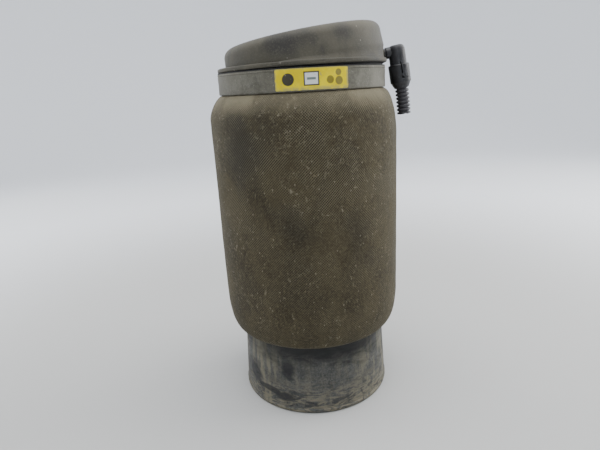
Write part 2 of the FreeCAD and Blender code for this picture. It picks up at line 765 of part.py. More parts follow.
def spigot_seals():
    """The two O-rings on the spigot, and the split ring that keeps it in the port."""
    seals = new_body("spigot_o_rings")
    for centre in (2.8 - d.spigot_end, 5.4 - d.spigot_end):
        primitive(
            seals, "AdditiveTorus", {"Radius1": d.spigot_r - 0.47, "Radius2": 0.46},
            x=centre, axis=FreeCAD.Vector(0, 1, 0), angle=90,
        )
    to_port(seals)
    clip = new_body("spigot_clip")
    inner, outer = d.spigot_r - 0.6, d.bush_bore + 0.3
    turned_about_x(clip, [
        (-d.clip_x - 0.45, inner), (-d.clip_x + 0.45, inner),
        (-d.clip_x + 0.45, outer), (-d.clip_x - 0.45, outer),
    ])
    primitive(clip, "SubtractiveBox", {"Length": 3, "Width": 1.6, "Height": 6}, x=-d.clip_x - 1.5, y=-0.8)
    to_port(clip)


def conduit_flap():
    """The hinged outboard half of the collar, with its knuckle and snap nose."""
    body = new_body("conduit_flap")
    foot, head = -d.flap_foot + 0.25, -d.collar_top
    turned(body, [
        (d.collar_r - d.flap_t, foot), (d.collar_r, foot), (d.collar_r, head - 1),
        (d.collar_r - 1, head, 1, LEFT), (d.collar_r - d.flap_t, head),
    ])
    # keeps the outboard half only, with a slight gap at both parting faces
    primitive(
        body, "SubtractiveBox", {"Length": 12, "Width": 24, "Height": 24}, x=-11.8, y=-12, z=-24,
    )
    knuckle_foot = -d.flap_foot + d.lug_low + CLEARANCE
    knuckle_height = d.flap_foot - d.collar_top - d.lug_low - d.lug_high - 2 * CLEARANCE
    primitive(
        body, "AdditiveCylinder", {"Radius": d.hinge_r, "Height": knuckle_height},
        y=d.hinge_y, z=knuckle_foot,
    )
    primitive(
        body, "AdditiveBox", {"Length": 1.9, "Width": 2.6, "Height": knuckle_height},
        x=CLEARANCE, y=d.hinge_y - 2.6, z=knuckle_foot,
    )
    pin_hole(body, 0.05)
    primitive(
        body, "AdditiveBox", {"Length": 2.4, "Width": 0.9, "Height": 2.2},
        x=CLEARANCE, y=-d.collar_r - 0.5, z=-d.flap_foot + 1.4,
    )
    to_port(body)


def flap_pin():
    """The pin on which the collar's flap turns."""
    body = new_body("flap_pin")
    primitive(
        body, "AdditiveCylinder", {"Radius": d.pin_r, "Height": d.flap_foot - d.collar_top},
        y=d.hinge_y, z=-d.flap_foot,
    )
    to_port(body)


def conduit_route():
    """The conduit's line in the fitting's frame: straight down, a gentle bend back, and straight again.

    Returns the bend's start, centre and end, and the direction after it.
    """
    turn = math.radians(DRIVING["conduit_bend"])
    radius = DRIVING["bend_r"]
    start = FreeCAD.Vector(0, 0, -DRIVING["cone_foot"])
    centre = start + FreeCAD.Vector(-radius, 0, 0)
    last = centre + FreeCAD.Vector(radius * math.cos(turn), 0, -radius * math.sin(turn))
    down = FreeCAD.Vector(-math.sin(turn), 0, -math.cos(turn))
    return start, centre, last, down


def route_point(distance):
    """A point and the downward direction on the conduit's line, at a distance below the collar's mouth."""
    start, centre, last, down = conduit_route()
    radius = DRIVING["bend_r"]
    bend = radius * math.radians(DRIVING["conduit_bend"])
    if distance <= 0:
        return start + FreeCAD.Vector(0, 0, -distance), FreeCAD.Vector(0, 0, -1)
    if distance <= bend:
        turn = distance / radius
        point = centre + FreeCAD.Vector(radius * math.cos(turn), 0, -radius * math.sin(turn))
        return point, FreeCAD.Vector(-math.sin(turn), 0, -math.cos(turn))
    return last + down * (distance - bend), down


def swept(body, kind, radius, top, foot):
    """Adds or cuts a round bar along the conduit's line, between two distances below its mouth."""
    start, _, last, _ = conduit_route()
    first, _ = route_point(top)
    end, _ = route_point(foot)
    bend_middle, _ = route_point(DRIVING["bend_r"] * math.radians(DRIVING["conduit_bend"]) / 2)
    path = body.newObject("Sketcher::SketchObject", f"{body.Name}_line")
    path.AttachmentSupport = [(origin_part(body, "XZ_Plane"), "")]
    path.MapMode = "FlatFace"
    flat = [FreeCAD.Vector(p.x, p.z, 0) for p in (first, start, bend_middle, last, end)]
    path.addGeometry(Part.LineSegment(flat[0], flat[1]))
    path.addGeometry(Part.Arc(flat[1], flat[2], flat[3]))
    path.addGeometry(Part.LineSegment(flat[3], flat[4]))
    section = body.newObject("Sketcher::SketchObject", f"{body.Name}_section")
    section.AttachmentSupport = [(origin_part(body, "XY_Plane"), "")]
    section.MapMode = "FlatFace"
    section.AttachmentOffset = FreeCAD.Placement(FreeCAD.Vector(0, 0, first.z), FreeCAD.Rotation())
    section.addGeometry(Part.Circle(FreeCAD.Vector(), FreeCAD.Vector(0, 0, 1), size(radius).value))
    index = section.addConstraint(Sketcher.Constraint("Radius", 0, size(radius).value))
    section.renameConstraint(index, "radius")
    bind(section, "Constraints.radius", radius)
    pipe = body.newObject(f"PartDesign::{kind}", f"{body.Name}_sweep")
    pipe.Profile = section
    pipe.Spine = (path, [""])
    doc.recompute()


def air_pipe():
    """The pipe inside the conduit, pushed home in the elbow and cut just short of the conduit's end."""
    body = new_body("air_pipe")
    top = DRIVING["pipe_seat"] - DRIVING["cone_foot"] + 0.3
    foot = DRIVING["conduit_foot"]
    swept(body, "AdditivePipe", d.pipe_r, top, foot - 0.4)
    swept(body, "SubtractivePipe", d.pipe_bore, top - 1, foot + 1)
    to_port(body)


def conduit():
    """A short length of corrugated conduit: a thin tube with round ribs at an even pitch."""
    body = new_body("conduit")
    top, foot = DRIVING["conduit_top"], DRIVING["conduit_foot"]
    swept(body, "AdditivePipe", d.conduit_root, top, foot)
    for number in range(RIBS):
        point, down = route_point(foot - 0.9 - number * DRIVING["rib_pitch"])
        lean = math.degrees(math.atan2(-down.x, -down.z))
        rib = body.newObject("PartDesign::AdditiveTorus", f"{body.Name}_rib")
        rib.AttachmentSupport = [(origin_part(body, "XY_Plane"), "")]
        rib.MapMode = "FlatFace"
        bind(rib, "Radius1", d.conduit_root - 0.05)
        bind(rib, "Radius2", d.rib_r)
        rib.AttachmentOffset = FreeCAD.Placement(point, FreeCAD.Rotation(FreeCAD.Vector(0, 1, 0), -lean))
    doc.recompute()
    swept(body, "SubtractivePipe", d.conduit_bore, top - 1, foot + 1)
    to_port(body)


def pipe_grip():
    """The toothed collet that holds the pipe in the elbow, and its seal."""
    collet = new_body("pipe_collet")
    foot, head = -d.pipe_seat - 8.8, -d.pipe_seat - 3
    turned(collet, [
        (d.pipe_r + 0.1, foot), (4.3, foot), (4.3, head),
        (d.pipe_r + 0.4, head), (d.pipe_r + 0.1, head - 1),
    ])
    slot = primitive(
        collet, "SubtractiveBox", {"Length": 6, "Width": 0.7, "Height": 4}, y=-0.35, z=head - 3.5,
    )
    around(collet, slot, 6)
    to_port(collet)
    to_port(round_ring("pipe_o_ring", size(3.65), size(0.55), z=-d.pipe_seat - 2.2))


# ---------------------------------------------------------------- build and write


def build():
    piston_shell()
    piston_base()
    mount_insert()
    bump_stop()
    bump_stop_fixings()
    lower_crimp_ring()
    bellows_inner_leg()
    bellows()
    upper_crimp_ring()
    info_label()
    closure_ring()
    upper_cap()
    cap_o_ring()
    port_insert()
    elbow_body()
    spigot_seals()
    conduit_flap()
    flap_pin()
    air_pipe()
    conduit()
    pipe_grip()
    doc.recompute()


def write():
    """Stops on any failed feature or bad shape, then writes one STEP file for each part."""
    failed = [o.Name for o in doc.Objects if "Invalid" in o.State or "Error" in o.State]
    if failed:
        raise SystemExit(f"failed features: {failed}")
    for part in finished:
        if part.Shape.isNull() or not part.Shape.isValid() or not part.Shape.Solids:
            raise SystemExit(f"{part.Label} has no valid solid")
    os.makedirs(OUTPUT, exist_ok=True)
    for part in finished:
        part.Shape.exportStep(os.path.join(OUTPUT, f"{part.Label}.step"))
        print(f"{part.Label}: {len(part.Shape.Solids)} solid(s), {part.Shape.Volume / 1000:.2f} cm3")


build()
write()
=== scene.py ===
"""The looks of a rolling-lobe air spring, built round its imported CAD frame.

Lengths are in millimetres until a mesh is made, and then in metres.
"""

import json
import math

import bmesh
import bpy
from mathutils import Matrix, Vector, noise


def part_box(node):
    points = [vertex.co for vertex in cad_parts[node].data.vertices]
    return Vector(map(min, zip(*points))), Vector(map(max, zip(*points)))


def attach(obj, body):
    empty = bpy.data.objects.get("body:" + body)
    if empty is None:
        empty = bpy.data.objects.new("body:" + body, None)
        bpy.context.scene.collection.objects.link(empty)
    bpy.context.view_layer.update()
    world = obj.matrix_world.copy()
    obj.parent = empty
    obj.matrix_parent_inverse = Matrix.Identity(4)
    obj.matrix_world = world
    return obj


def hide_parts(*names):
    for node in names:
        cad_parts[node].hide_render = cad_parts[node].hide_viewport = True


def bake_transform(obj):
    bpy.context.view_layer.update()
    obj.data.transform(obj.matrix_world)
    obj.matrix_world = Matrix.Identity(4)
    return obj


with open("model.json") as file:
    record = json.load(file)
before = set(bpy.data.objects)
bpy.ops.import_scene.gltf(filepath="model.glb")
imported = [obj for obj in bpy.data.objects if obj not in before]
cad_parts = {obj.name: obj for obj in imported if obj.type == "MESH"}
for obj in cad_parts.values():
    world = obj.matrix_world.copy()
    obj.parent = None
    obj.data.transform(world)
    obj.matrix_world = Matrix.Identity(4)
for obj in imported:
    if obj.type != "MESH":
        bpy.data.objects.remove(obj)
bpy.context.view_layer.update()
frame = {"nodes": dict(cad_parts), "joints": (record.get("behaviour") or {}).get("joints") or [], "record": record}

NODES = frame["nodes"]
JOINTS = {joint["name"]: joint for joint in frame["joints"]}
MM = 0.001
AROUND = 256
UP = Vector((0, 0, 1))

# the cap's flange: how far its centre is off the axis, and its lean in degrees
FLANGE_X, FLANGE_LEAN = 0.9, 0.8


def corners(node):
    """The lowest and highest corners of a CAD node, in millimetres."""
    low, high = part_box(node)
    return Vector(low) / MM, Vector(high) / MM


# ------------------------------------------------------------------ meshes


def finish_mesh(name, build, body, replaces=(), smooth_angle=40):
    """Turns a bmesh in millimetres into a piece that rides on a body and stands for its CAD nodes."""
    bmesh.ops.recalc_face_normals(build, faces=build.faces)
    bmesh.ops.scale(build, vec=Vector((MM, MM, MM)), verts=build.verts)
    mesh = bpy.data.meshes.new(name)
    build.to_mesh(mesh)
    build.free()
    piece = bpy.data.objects.new(name, mesh)
    bpy.context.scene.collection.objects.link(piece)
    mesh.shade_smooth()
    mesh.set_sharp_from_angle(angle=math.radians(smooth_angle))
    remember_rest(mesh)
    if body:
        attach(piece, body)
    if replaces:
        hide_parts(*replaces)
    return piece


def remember_rest(mesh):
    """Keeps each point's place at rest, so that a material stays put when the mesh bends."""
    rest = mesh.attributes.new("rest", "FLOAT_VECTOR", "POINT")
    rest.data.foreach_set("vector", [c for v in mesh.vertices for c in v.co])


def ring_surface(build, rings, closed=False, around=AROUND):
    """Skins a list of rings. A ring is (centre, radius, lean), where lean raises its +X side, in degrees.

    A ring of radius 0 is a pole. A closed surface joins its last ring to its first.
    """
    loops = []
    for centre, radius, lean in rings:
        turn = Matrix.Rotation(-math.radians(lean), 4, "Y")
        if radius == 0:
            loops.append([build.verts.new(centre)])
            continue
        loops.append([
            build.verts.new(Vector(centre) + turn @ (radius * Vector((math.cos(a), math.sin(a), 0))))
            for a in (2 * math.pi * i / around for i in range(around))
        ])
    wrap = build.loops.layers.uv.get("wrap") or build.loops.layers.uv.new("wrap")
    widest = max(radius for _, radius, _ in rings)
    along = 0
    pairs = list(zip(range(len(loops)), range(1, len(loops))))
    if closed:
        pairs.append((len(loops) - 1, 0))
    for here, there in pairs:
        first, second = loops[here], loops[there]
        step = (Vector(rings[there][0]) - Vector(rings[here][0])).length
        step = math.hypot(step, rings[there][1] - rings[here][1])
        for i in range(around):
            j = (i + 1) % around
            corners_of = [
                (first[i % len(first)], i, along), (first[j % len(first)], i + 1, along),
                (second[j % len(second)], i + 1, along + step), (second[i % len(second)], i, along + step),
            ]
            used, seen = [], set()
            for corner in corners_of:
                if corner[0] not in seen:
                    seen.add(corner[0])
                    used.append(corner)
            if len(used) < 3:
                continue
            face = build.faces.new([corner[0] for corner in used])
            for loop, (_, turn_step, height) in zip(face.loops, used):
                loop[wrap].uv = (turn_step / around * 2 * math.pi * widest * MM, height * MM)
        along += step


def lathe(profile, closed=True, around=AROUND):
    """A bmesh turned about Z from (radius, height) points."""
    build = bmesh.new()
    ring_surface(build, [((0, 0, height), radius, 0) for radius, height in profile], closed, around)
    return build


def arc(centre, radius, start, end, steps=8):
    """Points on an arc about (radius, height) centre, from one angle to another, in degrees."""
    angles = [math.radians(start + (end - start) * i / steps) for i in range(steps + 1)]
    return [(centre[0] + radius * math.cos(a), centre[1] + radius * math.sin(a)) for a in angles]


def line(first, last, steps):
    """Points between two points, without the first."""
    return [tuple(a + (b - a) * i / steps for a, b in zip(first, last)) for i in range(1, steps + 1)]


def cut_or_join(target, tool_build, operation):
    """Applies one exact boolean to a bmesh piece in millimetres, and returns the result."""
    meshes = []
    for build in (target, tool_build):
        bmesh.ops.recalc_face_normals(build, faces=build.faces)
        mesh = bpy.data.meshes.new("scratch")
        build.to_mesh(mesh)
        build.free()
        meshes.append(mesh)
    base, tool = (bpy.data.objects.new("scratch", mesh) for mesh in meshes)
    for scratch in (base, tool):
        bpy.context.scene.collection.objects.link(scratch)
    modifier = base.modifiers.new("boolean", "BOOLEAN")
    modifier.object = tool
    modifier.operation = operation
    modifier.solver = "EXACT"
    evaluated = base.evaluated_get(bpy.context.evaluated_depsgraph_get())
    result = bmesh.new()
    result.from_mesh(bpy.data.meshes.new_from_object(evaluated))
    for scratch in (base, tool):
        bpy.data.objects.remove(scratch)
    return result


# ------------------------------------------------------------------ materials


class Shader:
    """Builds one node material. Every method returns an output socket."""

    def __init__(self, name):
        self.material = bpy.data.materials.new(name)
        self.material.use_nodes = True
        self.tree = self.material.node_tree
        self.surface = self.tree.nodes["Principled BSDF"]

    def node(self, kind, inputs=(), **settings):
        made = self.tree.nodes.new(kind)
        for name, value in settings.items():
            setattr(made, name, value)
        for key, value in dict(inputs).items():
            self.feed(made.inputs[key], value)
        return made

    def feed(self, socket, value):
        if isinstance(value, bpy.types.NodeSocket):
            self.tree.links.new(value, socket)
        else:
            socket.default_value = value

    def rest(self):
        return self.node("ShaderNodeAttribute", attribute_name="rest").outputs["Vector"]

    def object_place(self):
        return self.node("ShaderNodeTexCoord").outputs["Object"]

    def wrap(self):
        return self.node("ShaderNodeUVMap", uv_map="wrap").outputs["UV"]

    def stretched(self, place, scale):
        return self.node("ShaderNodeMapping", {"Vector": place, "Scale": scale}).outputs["Vector"]

    def moved(self, place, offset):
        return self.node("ShaderNodeVectorMath", {0: place, 1: offset}, operation="ADD").outputs["Vector"]

    def split(self, place):
        return self.node("ShaderNodeSeparateXYZ", {"Vector": place}).outputs

    def noise(self, place, size_mm, detail=4.0, rough=0.55, warp=0.0):
        return self.node("ShaderNodeTexNoise", {
            "Vector": place, "Scale": 1 / (size_mm * MM), "Detail": detail, "Roughness": rough,
            "Distortion": warp,
        }).outputs["Fac"]

    def cells(self, place, size_mm):
        return self.node(
            "ShaderNodeTexVoronoi", {"Vector": place, "Scale": 1 / (size_mm * MM)}, feature="F1",
        ).outputs["Distance"]

    def math(self, operation, *values):
        return self.node("ShaderNodeMath", dict(enumerate(values)), operation=operation).outputs["Value"]

    def times(self, *values):
        return self.math("MULTIPLY", *values)

    def plus(self, *values):
        return self.math("ADD", *values)

    def minus(self, *values):
        return self.math("SUBTRACT", *values)

    def most(self, *values):
        return self.math("MAXIMUM", *values)

    def distance(self, x, y):
        return self.math("SQRT", self.plus(self.times(x, x), self.times(y, y)))

    def band(self, value, low, high, to_low=0.0, to_high=1.0):
        """Maps low..high smoothly to to_low..to_high."""
        return self.node("ShaderNodeMapRange", {
            "Value": value, "From Min": low, "From Max": high, "To Min": to_low, "To Max": to_high,
        }, interpolation_type="SMOOTHSTEP").outputs["Result"]

    def blend(self, amount, first, second):
        made = self.node("ShaderNodeMix", data_type="RGBA")
        self.feed(made.inputs["Factor"], amount)
        for socket, value in zip((made.inputs[6], made.inputs[7]), (first, second)):
            self.feed(socket, value if isinstance(value, bpy.types.NodeSocket) else (*value, 1.0))
        return made.outputs[2]

    def paint(self, under, mask, strength, over):
        """Lays a colour over another where the mask is, at that strength."""
        return self.blend(self.times(mask, strength), under, over)

    def spot(self, place, at, size_mm, soft, ragged, edge):
        """A soft, ragged mask at (radius, azimuth, height), of (width, height), in millimetres and degrees."""
        radius, azimuth, height = at
        angle = math.radians(azimuth)
        centre = Vector((radius * math.cos(angle), radius * math.sin(angle), height)) * MM
        wide, tall = (2 / (size * MM) for size in size_mm)
        away = self.node("ShaderNodeVectorMath", {0: place, 1: centre}, operation="SUBTRACT")
        shape = self.stretched(away.outputs["Vector"], (wide, wide, tall))
        far = self.node("ShaderNodeVectorMath", {0: shape}, operation="LENGTH").outputs["Value"]
        far = self.plus(far, self.times(self.minus(edge, 0.5), ragged))
        return self.band(far, 1 + soft, 1 - soft)

    def bump(self, height, depth_mm, below=None):
        inputs = {"Height": height, "Strength": 1.0, "Distance": depth_mm * MM}
        if below:
            inputs["Normal"] = below
        return self.node("ShaderNodeBump", inputs).outputs["Normal"]

    def finish(self, colour, roughness, normal=None, **constants):
        """Feeds the surface. The constants are set on its own sockets."""
        self.feed(self.surface.inputs["Base Color"], colour)
        self.feed(self.surface.inputs["Roughness"], roughness)
        if normal:
            self.feed(self.surface.inputs["Normal"], normal)
        for name, value in constants.items():
            self.surface.inputs[name.replace("_", " ")].default_value = value
        return self.material


def put_on(piece, material):
    piece.data.materials.clear()
    piece.data.materials.append(material)


def sleeve_rubber():
    """Dusty rubber over two layers of diagonal cord, whose weave shows most where the rubber is thin."""
    deep, dusty = (0.0170, 0.0136, 0.0077), (0.0440, 0.0360, 0.0204)
    film, thread = (0.0850, 0.0710, 0.0400), (0.1650, 0.1430, 0.0880)
    gap, grain = (0.0060, 0.0052, 0.0040), (0.1500, 0.1270, 0.0780)
    scraped, fibre = (0.1900, 0.1680, 0.1180), (0.2000, 0.1800, 0.1300)
    fleck, stain = (0.2300, 0.2050, 0.1500), (0.0140, 0.0138, 0.0130)
    bare, sheen = (0.1650, 0.1450, 0.0960), (0.55, 0.50, 0.38, 1.0)
    cord_pitch = 1.95 * MM
    s = Shader("sleeve_rubber")
    place, wrap = s.rest(), s.wrap()
    u, v, _ = s.split(wrap)
    height = s.split(place)[2]
    turns = 2 * math.pi / cord_pitch
    wander = s.times(s.minus(s.noise(place, 60, 2), 0.5), 5.0)
    rise, fall = (
        s.math("SINE", s.plus(s.times(s.math(way, u, v), turns), wander))
        for way in ("ADD", "SUBTRACT")
    )
    lean = s.band(s.noise(s.moved(place, (0.7, 0.2, 0.1)), 70, 1), 0.42, 0.58, 0.35, 1.0)
    weave = s.band(s.plus(s.times(rise, lean), fall), -1.3, 1.3)
    upper = s.band(height, 0.110, 0.215)
    patchy = s.band(s.noise(place, 30, 4, 0.6), 0.36, 0.60)
    shows = s.times(s.plus(0.25, s.times(upper, 0.75)), patchy)
    shows = s.plus(0.14, s.times(shows, 0.86))

    dust = s.noise(s.stretched(place, (1, 1, 0.55)), 26, 6, 0.62, 0.6)
    fine = s.noise(place, 2.0, 5, 0.72)
    grit = s.band(s.noise(place, 1.5, 3, 0.65), 0.58, 0.72)
    scratch = s.band(s.noise(s.stretched(place, (1.6, 1.6, 0.45)), 3.2, 3, 0.6, 1.5), 0.64, 0.72)
    flecks = s.band(s.cells(s.stretched(place, (1, 1, 0.7)), 5.0), 0.13, 0.05)
    colour = s.blend(s.band(dust, 0.36, 0.64), deep, dusty)
    colour = s.paint(colour, s.band(fine, 0.38, 0.70), 0.60, film)
    threads = s.times(shows, weave)
    gaps = s.times(shows, s.minus(1.0, weave))
    colour = s.paint(colour, threads, 0.72, thread)
    colour = s.paint(colour, gaps, 0.88, gap)
    loose = s.times(s.band(s.noise(place, 18, 3), 0.40, 0.6), 0.75)
    colour = s.paint(colour, grit, loose, grain)
    colour = s.paint(colour, scratch, 0.50, scraped)
    lint = s.times(s.band(s.noise(place, 40, 3), 0.42, 0.58), 0.7)
    fibres = []
    for offset in ((0.9, 0.1, 0.4), (0.2, 0.8, 0.6)):
        winding = s.noise(s.moved(place, offset), 9, 2, 0.4, 1.8)
        fibres.append(s.band(s.math("ABSOLUTE", s.minus(winding, 0.5)), 0.010, 0.003))
    fibres = s.times(s.most(*fibres), s.band(s.noise(place, 5, 3), 0.50, 0.60))
    colour = s.paint(colour, fibres, lint, fibre)
    colour = s.paint(colour, flecks, 0.60, fleck)
    dark = s.band(s.noise(s.moved(place, (0.31, 0.07, 0.02)), 52, 3, 0.5), 0.56, 0.72)
    stained = s.spot(place, (75, -128, 222), (34, 52), 0.8, 1.6, dust)
    stained = s.most(s.times(dark, 0.28), s.times(stained, 0.55))
    colour = s.blend(stained, colour, stain)
    smooth = s.band(height, 0.2400, 0.2530)
    colour = s.paint(colour, smooth, s.band(dust, 0.4, 0.6, 0.35, 0.85), bare)
    roughness = s.band(dust, 0.3, 0.7, 0.78, 0.95)
    cord = s.bump(s.times(weave, shows), 0.20)
    skin = s.bump(s.plus(fine, s.times(grit, 0.4)), 0.28, cord)
    return s.finish(colour, roughness, skin, Sheen_Weight=0.10, Sheen_Roughness=0.5,
                    Sheen_Tint=sheen, Specular_IOR_Level=0.16)


def cap_plastic():
    """Olive-grey moulded plastic with dark smears, a dusty film, small scuffs and painted shade under the flange.
    """
    olive, faded = (0.038, 0.0345, 0.0245), (0.068, 0.062, 0.045)
    dust, stain = (0.100, 0.091, 0.068), (0.023, 0.022, 0.021)
    grain, scuff = (0.105, 0.096, 0.073), (0.130, 0.120, 0.094)
    chip, shade = (0.200, 0.185, 0.150), (0.002, 0.002, 0.002)
    sheen = (0.75, 0.74, 0.68, 1.0)
    s = Shader("cap_plastic")
    place = s.rest()
    x, y, height = s.split(place)
    cloud = s.noise(s.stretched(place, (1, 1, 0.8)), 30, 5, 0.55, 0.5)
    smear = s.band(s.noise(s.moved(place, (0.2, 0.5, 0.1)), 20, 4, 0.5, 0.8), 0.54, 0.66)
    fine = s.noise(place, 1.1, 4, 0.7)
    scuffs = s.band(s.noise(s.stretched(place, (1, 1, 6)), 5, 4, 0.7), 0.64, 0.74)
    chips = s.band(s.cells(place, 9), 0.085, 0.04)
    colour = s.blend(s.band(cloud, 0.36, 0.66), olive, faded)
    dusty = s.times(s.band(height, 0.281, 0.303), s.band(cloud, 0.40, 0.58, 0.25, 0.8))
    colour = s.blend(dusty, colour, dust)
    stains = s.most(s.spot(place, (60, -101, 289), (24, 15), 0.7, 1.6, cloud),
                    s.spot(place, (60, -63, 294), (18, 12), 0.7, 1.6, cloud))
    stains = s.most(s.times(smear, 0.4), s.times(stains, 0.7))
    colour = s.blend(stains, colour, stain)
    colour = s.paint(colour, s.band(fine, 0.45, 0.75), 0.40, grain)
    colour = s.paint(colour, scuffs, 0.25, scuff)
    colour = s.paint(colour, chips, 0.6, chip)
    # painted shade: near-black on the seat and socket under the flange, standing for the shadow in the gap
    across = s.minus(x, FLANGE_X * MM)
    reach = s.distance(across, y)
    above = s.minus(height, s.times(x, math.tan(math.radians(FLANGE_LEAN))))
    under = s.times(s.band(reach, 0.0654, 0.0648), s.band(above, 0.2742, 0.2739))
    colour = s.blend(under, colour, shade)
    rough = s.band(cloud, 0.3, 0.7, 0.58, 0.78)
    return s.finish(colour, rough, s.bump(fine, 0.10), Sheen_Weight=0.06, Sheen_Roughness=0.4,
                    Sheen_Tint=sheen, Specular_IOR_Level=0.30)


def band_metal():
    """Dull swaged metal under dried dirt, mottled and speckled."""
    dull, light = (0.074, 0.070, 0.054), (0.122, 0.116, 0.091)
    mottle, dirt = (0.165, 0.159, 0.130), (0.075, 0.068, 0.048)
    bright, pit = (0.300, 0.295, 0.260), (0.040, 0.037, 0.030)
    s = Shader("band_metal")
    place = s.rest()
    cloud = s.noise(place, 14, 5, 0.6, 0.4)
    mottled = s.noise(place, 2.6, 5, 0.72)
    speck = s.band(s.noise(place, 1.0, 3, 0.6), 0.60, 0.72)
    pits = s.band(s.noise(s.moved(place, (0.1, 0.3, 0.2)), 1.3, 3, 0.6), 0.62, 0.72)
    grime = s.band(s.noise(s.stretched(place, (1, 1, 0.6)), 9, 5, 0.65), 0.44, 0.62)
    colour = s.blend(s.band(cloud, 0.35, 0.65), dull, light)
    colour = s.paint(colour, s.band(mottled, 0.40, 0.62), 0.6, mottle)
    colour = s.paint(colour, grime, 0.5, dirt)
    colour = s.paint(colour, speck, 0.5, bright)
    colour = s.paint(colour, pits, 0.5, pit)
    rough = s.band(mottled, 0.3, 0.7, 0.50, 0.74)
    s.feed(s.surface.inputs["Metallic"], s.band(grime, 0.0, 1.0, 0.45, 0.10))
    return s.finish(colour, rough, s.bump(mottled, 0.12), Specular_IOR_Level=0.30)


def piston_plastic():
    """Grey moulded plastic with a painted shadow under the sleeve's lobe, tan mud wiped over its foot and dark
    rubs.
    """
    dark, grey = (0.032, 0.033, 0.032), (0.076, 0.076, 0.070)
    tan, tan_streak = (0.165, 0.146, 0.100), (0.160, 0.146, 0.100)
    scuff, bruise = (0.190, 0.182, 0.150), (0.017, 0.017, 0.019)
    # black is the colour of the painted shadow under the lobe
    rubbed, black = (0.010, 0.010, 0.012), (0.006, 0.006, 0.0055)
    s = Shader("piston_plastic")
    place = s.rest()
    x, _, height = s.split(place)
    swept = s.noise(s.stretched(place, (1, 1, 2.6)), 22, 6, 0.62, 1.2)
    wiped = s.noise(s.stretched(place, (0.8, 0.8, 3.0)), 15, 6, 0.66, 2.0)
    fine = s.noise(place, 1.6, 5, 0.72)
    streak = s.band(s.noise(s.stretched(place, (3.2, 3.2, 0.5)), 16, 5, 0.6), 0.46, 0.64)
    low = s.band(height, 0.036, 0.004)
    colour = s.blend(s.band(fine, 0.35, 0.68), dark, grey)
    mud = s.times(s.band(wiped, 0.42, 0.58), s.plus(0.12, s.times(low, 0.88)))
    colour = s.paint(colour, mud, 0.8, tan)
    flank = s.times(s.band(s.math("ABSOLUTE", s.plus(x, -0.002)), 0.020, 0.054), 0.65)
    colour = s.paint(colour, streak, s.plus(flank, 0.25), tan_streak)
    scuffs = s.band(s.noise(s.stretched(place, (1, 1, 0.6)), 2.4, 4, 0.7, 1.2), 0.58, 0.70)
    colour = s.paint(colour, scuffs, 0.45, scuff)
    worn = s.noise(s.moved(s.stretched(place, (1, 1, 1.8)), (0.4, 0.1, 0.3)), 14, 4, 0.6, 1.0)
    worn = s.times(s.band(worn, 0.52, 0.64), s.plus(0.3, s.times(low, 0.7)))
    colour = s.paint(colour, worn, 0.8, bruise)
    rubs = (((-113, 37), (12, 16)), ((-148, 25), (18, 15)), ((-116, 13), (18, 8)), ((-131, 16), (30, 5)))
    for (azimuth, level), size in rubs:
        rub = s.spot(place, (63.5, azimuth, level), size, 0.32, 2.2, swept)
        colour = s.paint(colour, rub, 0.82, rubbed)
    # painted shadow of the lobe: near-black just under it, fading downwards, strongest at the front and back and
    # weaker at the sides
    painted_lobe_shadow = s.plus(height, s.times(s.minus(swept, 0.5), 0.030))
    front = s.band(s.math("ABSOLUTE", s.plus(x, -0.006)), 0.066, 0.022, 0.35, 0.97)
    painted_lobe_shadow = s.times(s.band(painted_lobe_shadow, 0.033, 0.054), front)
    colour = s.blend(painted_lobe_shadow, colour, black)
    rough = s.band(swept, 0.3, 0.7, 0.48, 0.74)
    return s.finish(colour, rough, s.bump(fine, 0.12), Specular_IOR_Level=0.32)


def fitting_plastic(name, rough_span, dark, light, dusty, on_rest=True):
    """Moulded plastic with a fine grain, slight dust and uneven gloss. CAD nodes have no rest attribute."""
    s = Shader(name)
    place = s.rest() if on_rest else s.object_place()
    cloud = s.noise(place, 6, 4, 0.6)
    fine = s.noise(place, 0.5, 4, 0.7)
    dust = s.band(s.noise(place, 2.4, 5, 0.7), 0.52, 0.72)
    colour = s.blend(s.band(cloud, 0.35, 0.65), dark, light)
    colour = s.paint(colour, dust, 0.35, dusty)
    rough = s.band(cloud, 0.3, 0.7, *rough_span)
    return s.finish(colour, rough, s.bump(fine, 0.03), Specular_IOR_Level=0.40)


def metal(name, light, dark, rough_span):
    """Turned or plated metal with fine rings and slight tarnish."""
    s = Shader(name)
    place = s.object_place()
    rings = s.noise(s.stretched(place, (1, 1, 9)), 3, 3, 0.6)
    tarnish = s.band(s.noise(place, 5, 4, 0.6), 0.42, 0.66)
    colour = s.blend(tarnish, light, dark)
    rough = s.band(rings, 0.3, 0.7, *rough_span)
    return s.finish(colour, rough, s.bump(rings, 0.02), Metallic=1.0)


def cellular_foam():
    """Cellular polyurethane with open pores."""
    brown, cream = (0.52, 0.40, 0.20), (0.64, 0.52, 0.29)
    pore = (0.26, 0.18, 0.08)
    s = Shader("bump_foam")
    place = s.object_place()
    pores = s.band(s.cells(place, 1.1), 0.25, 0.55)
    cloud = s.noise(place, 12, 4)
    colour = s.blend(s.band(cloud, 0.35, 0.65), brown, cream)
    colour = s.paint(colour, s.minus(1.0, pores), 0.5, pore)
    return s.finish(colour, s.band(pores, 0.0, 1.0, 0.95, 0.8), s.bump(pores, 0.25))


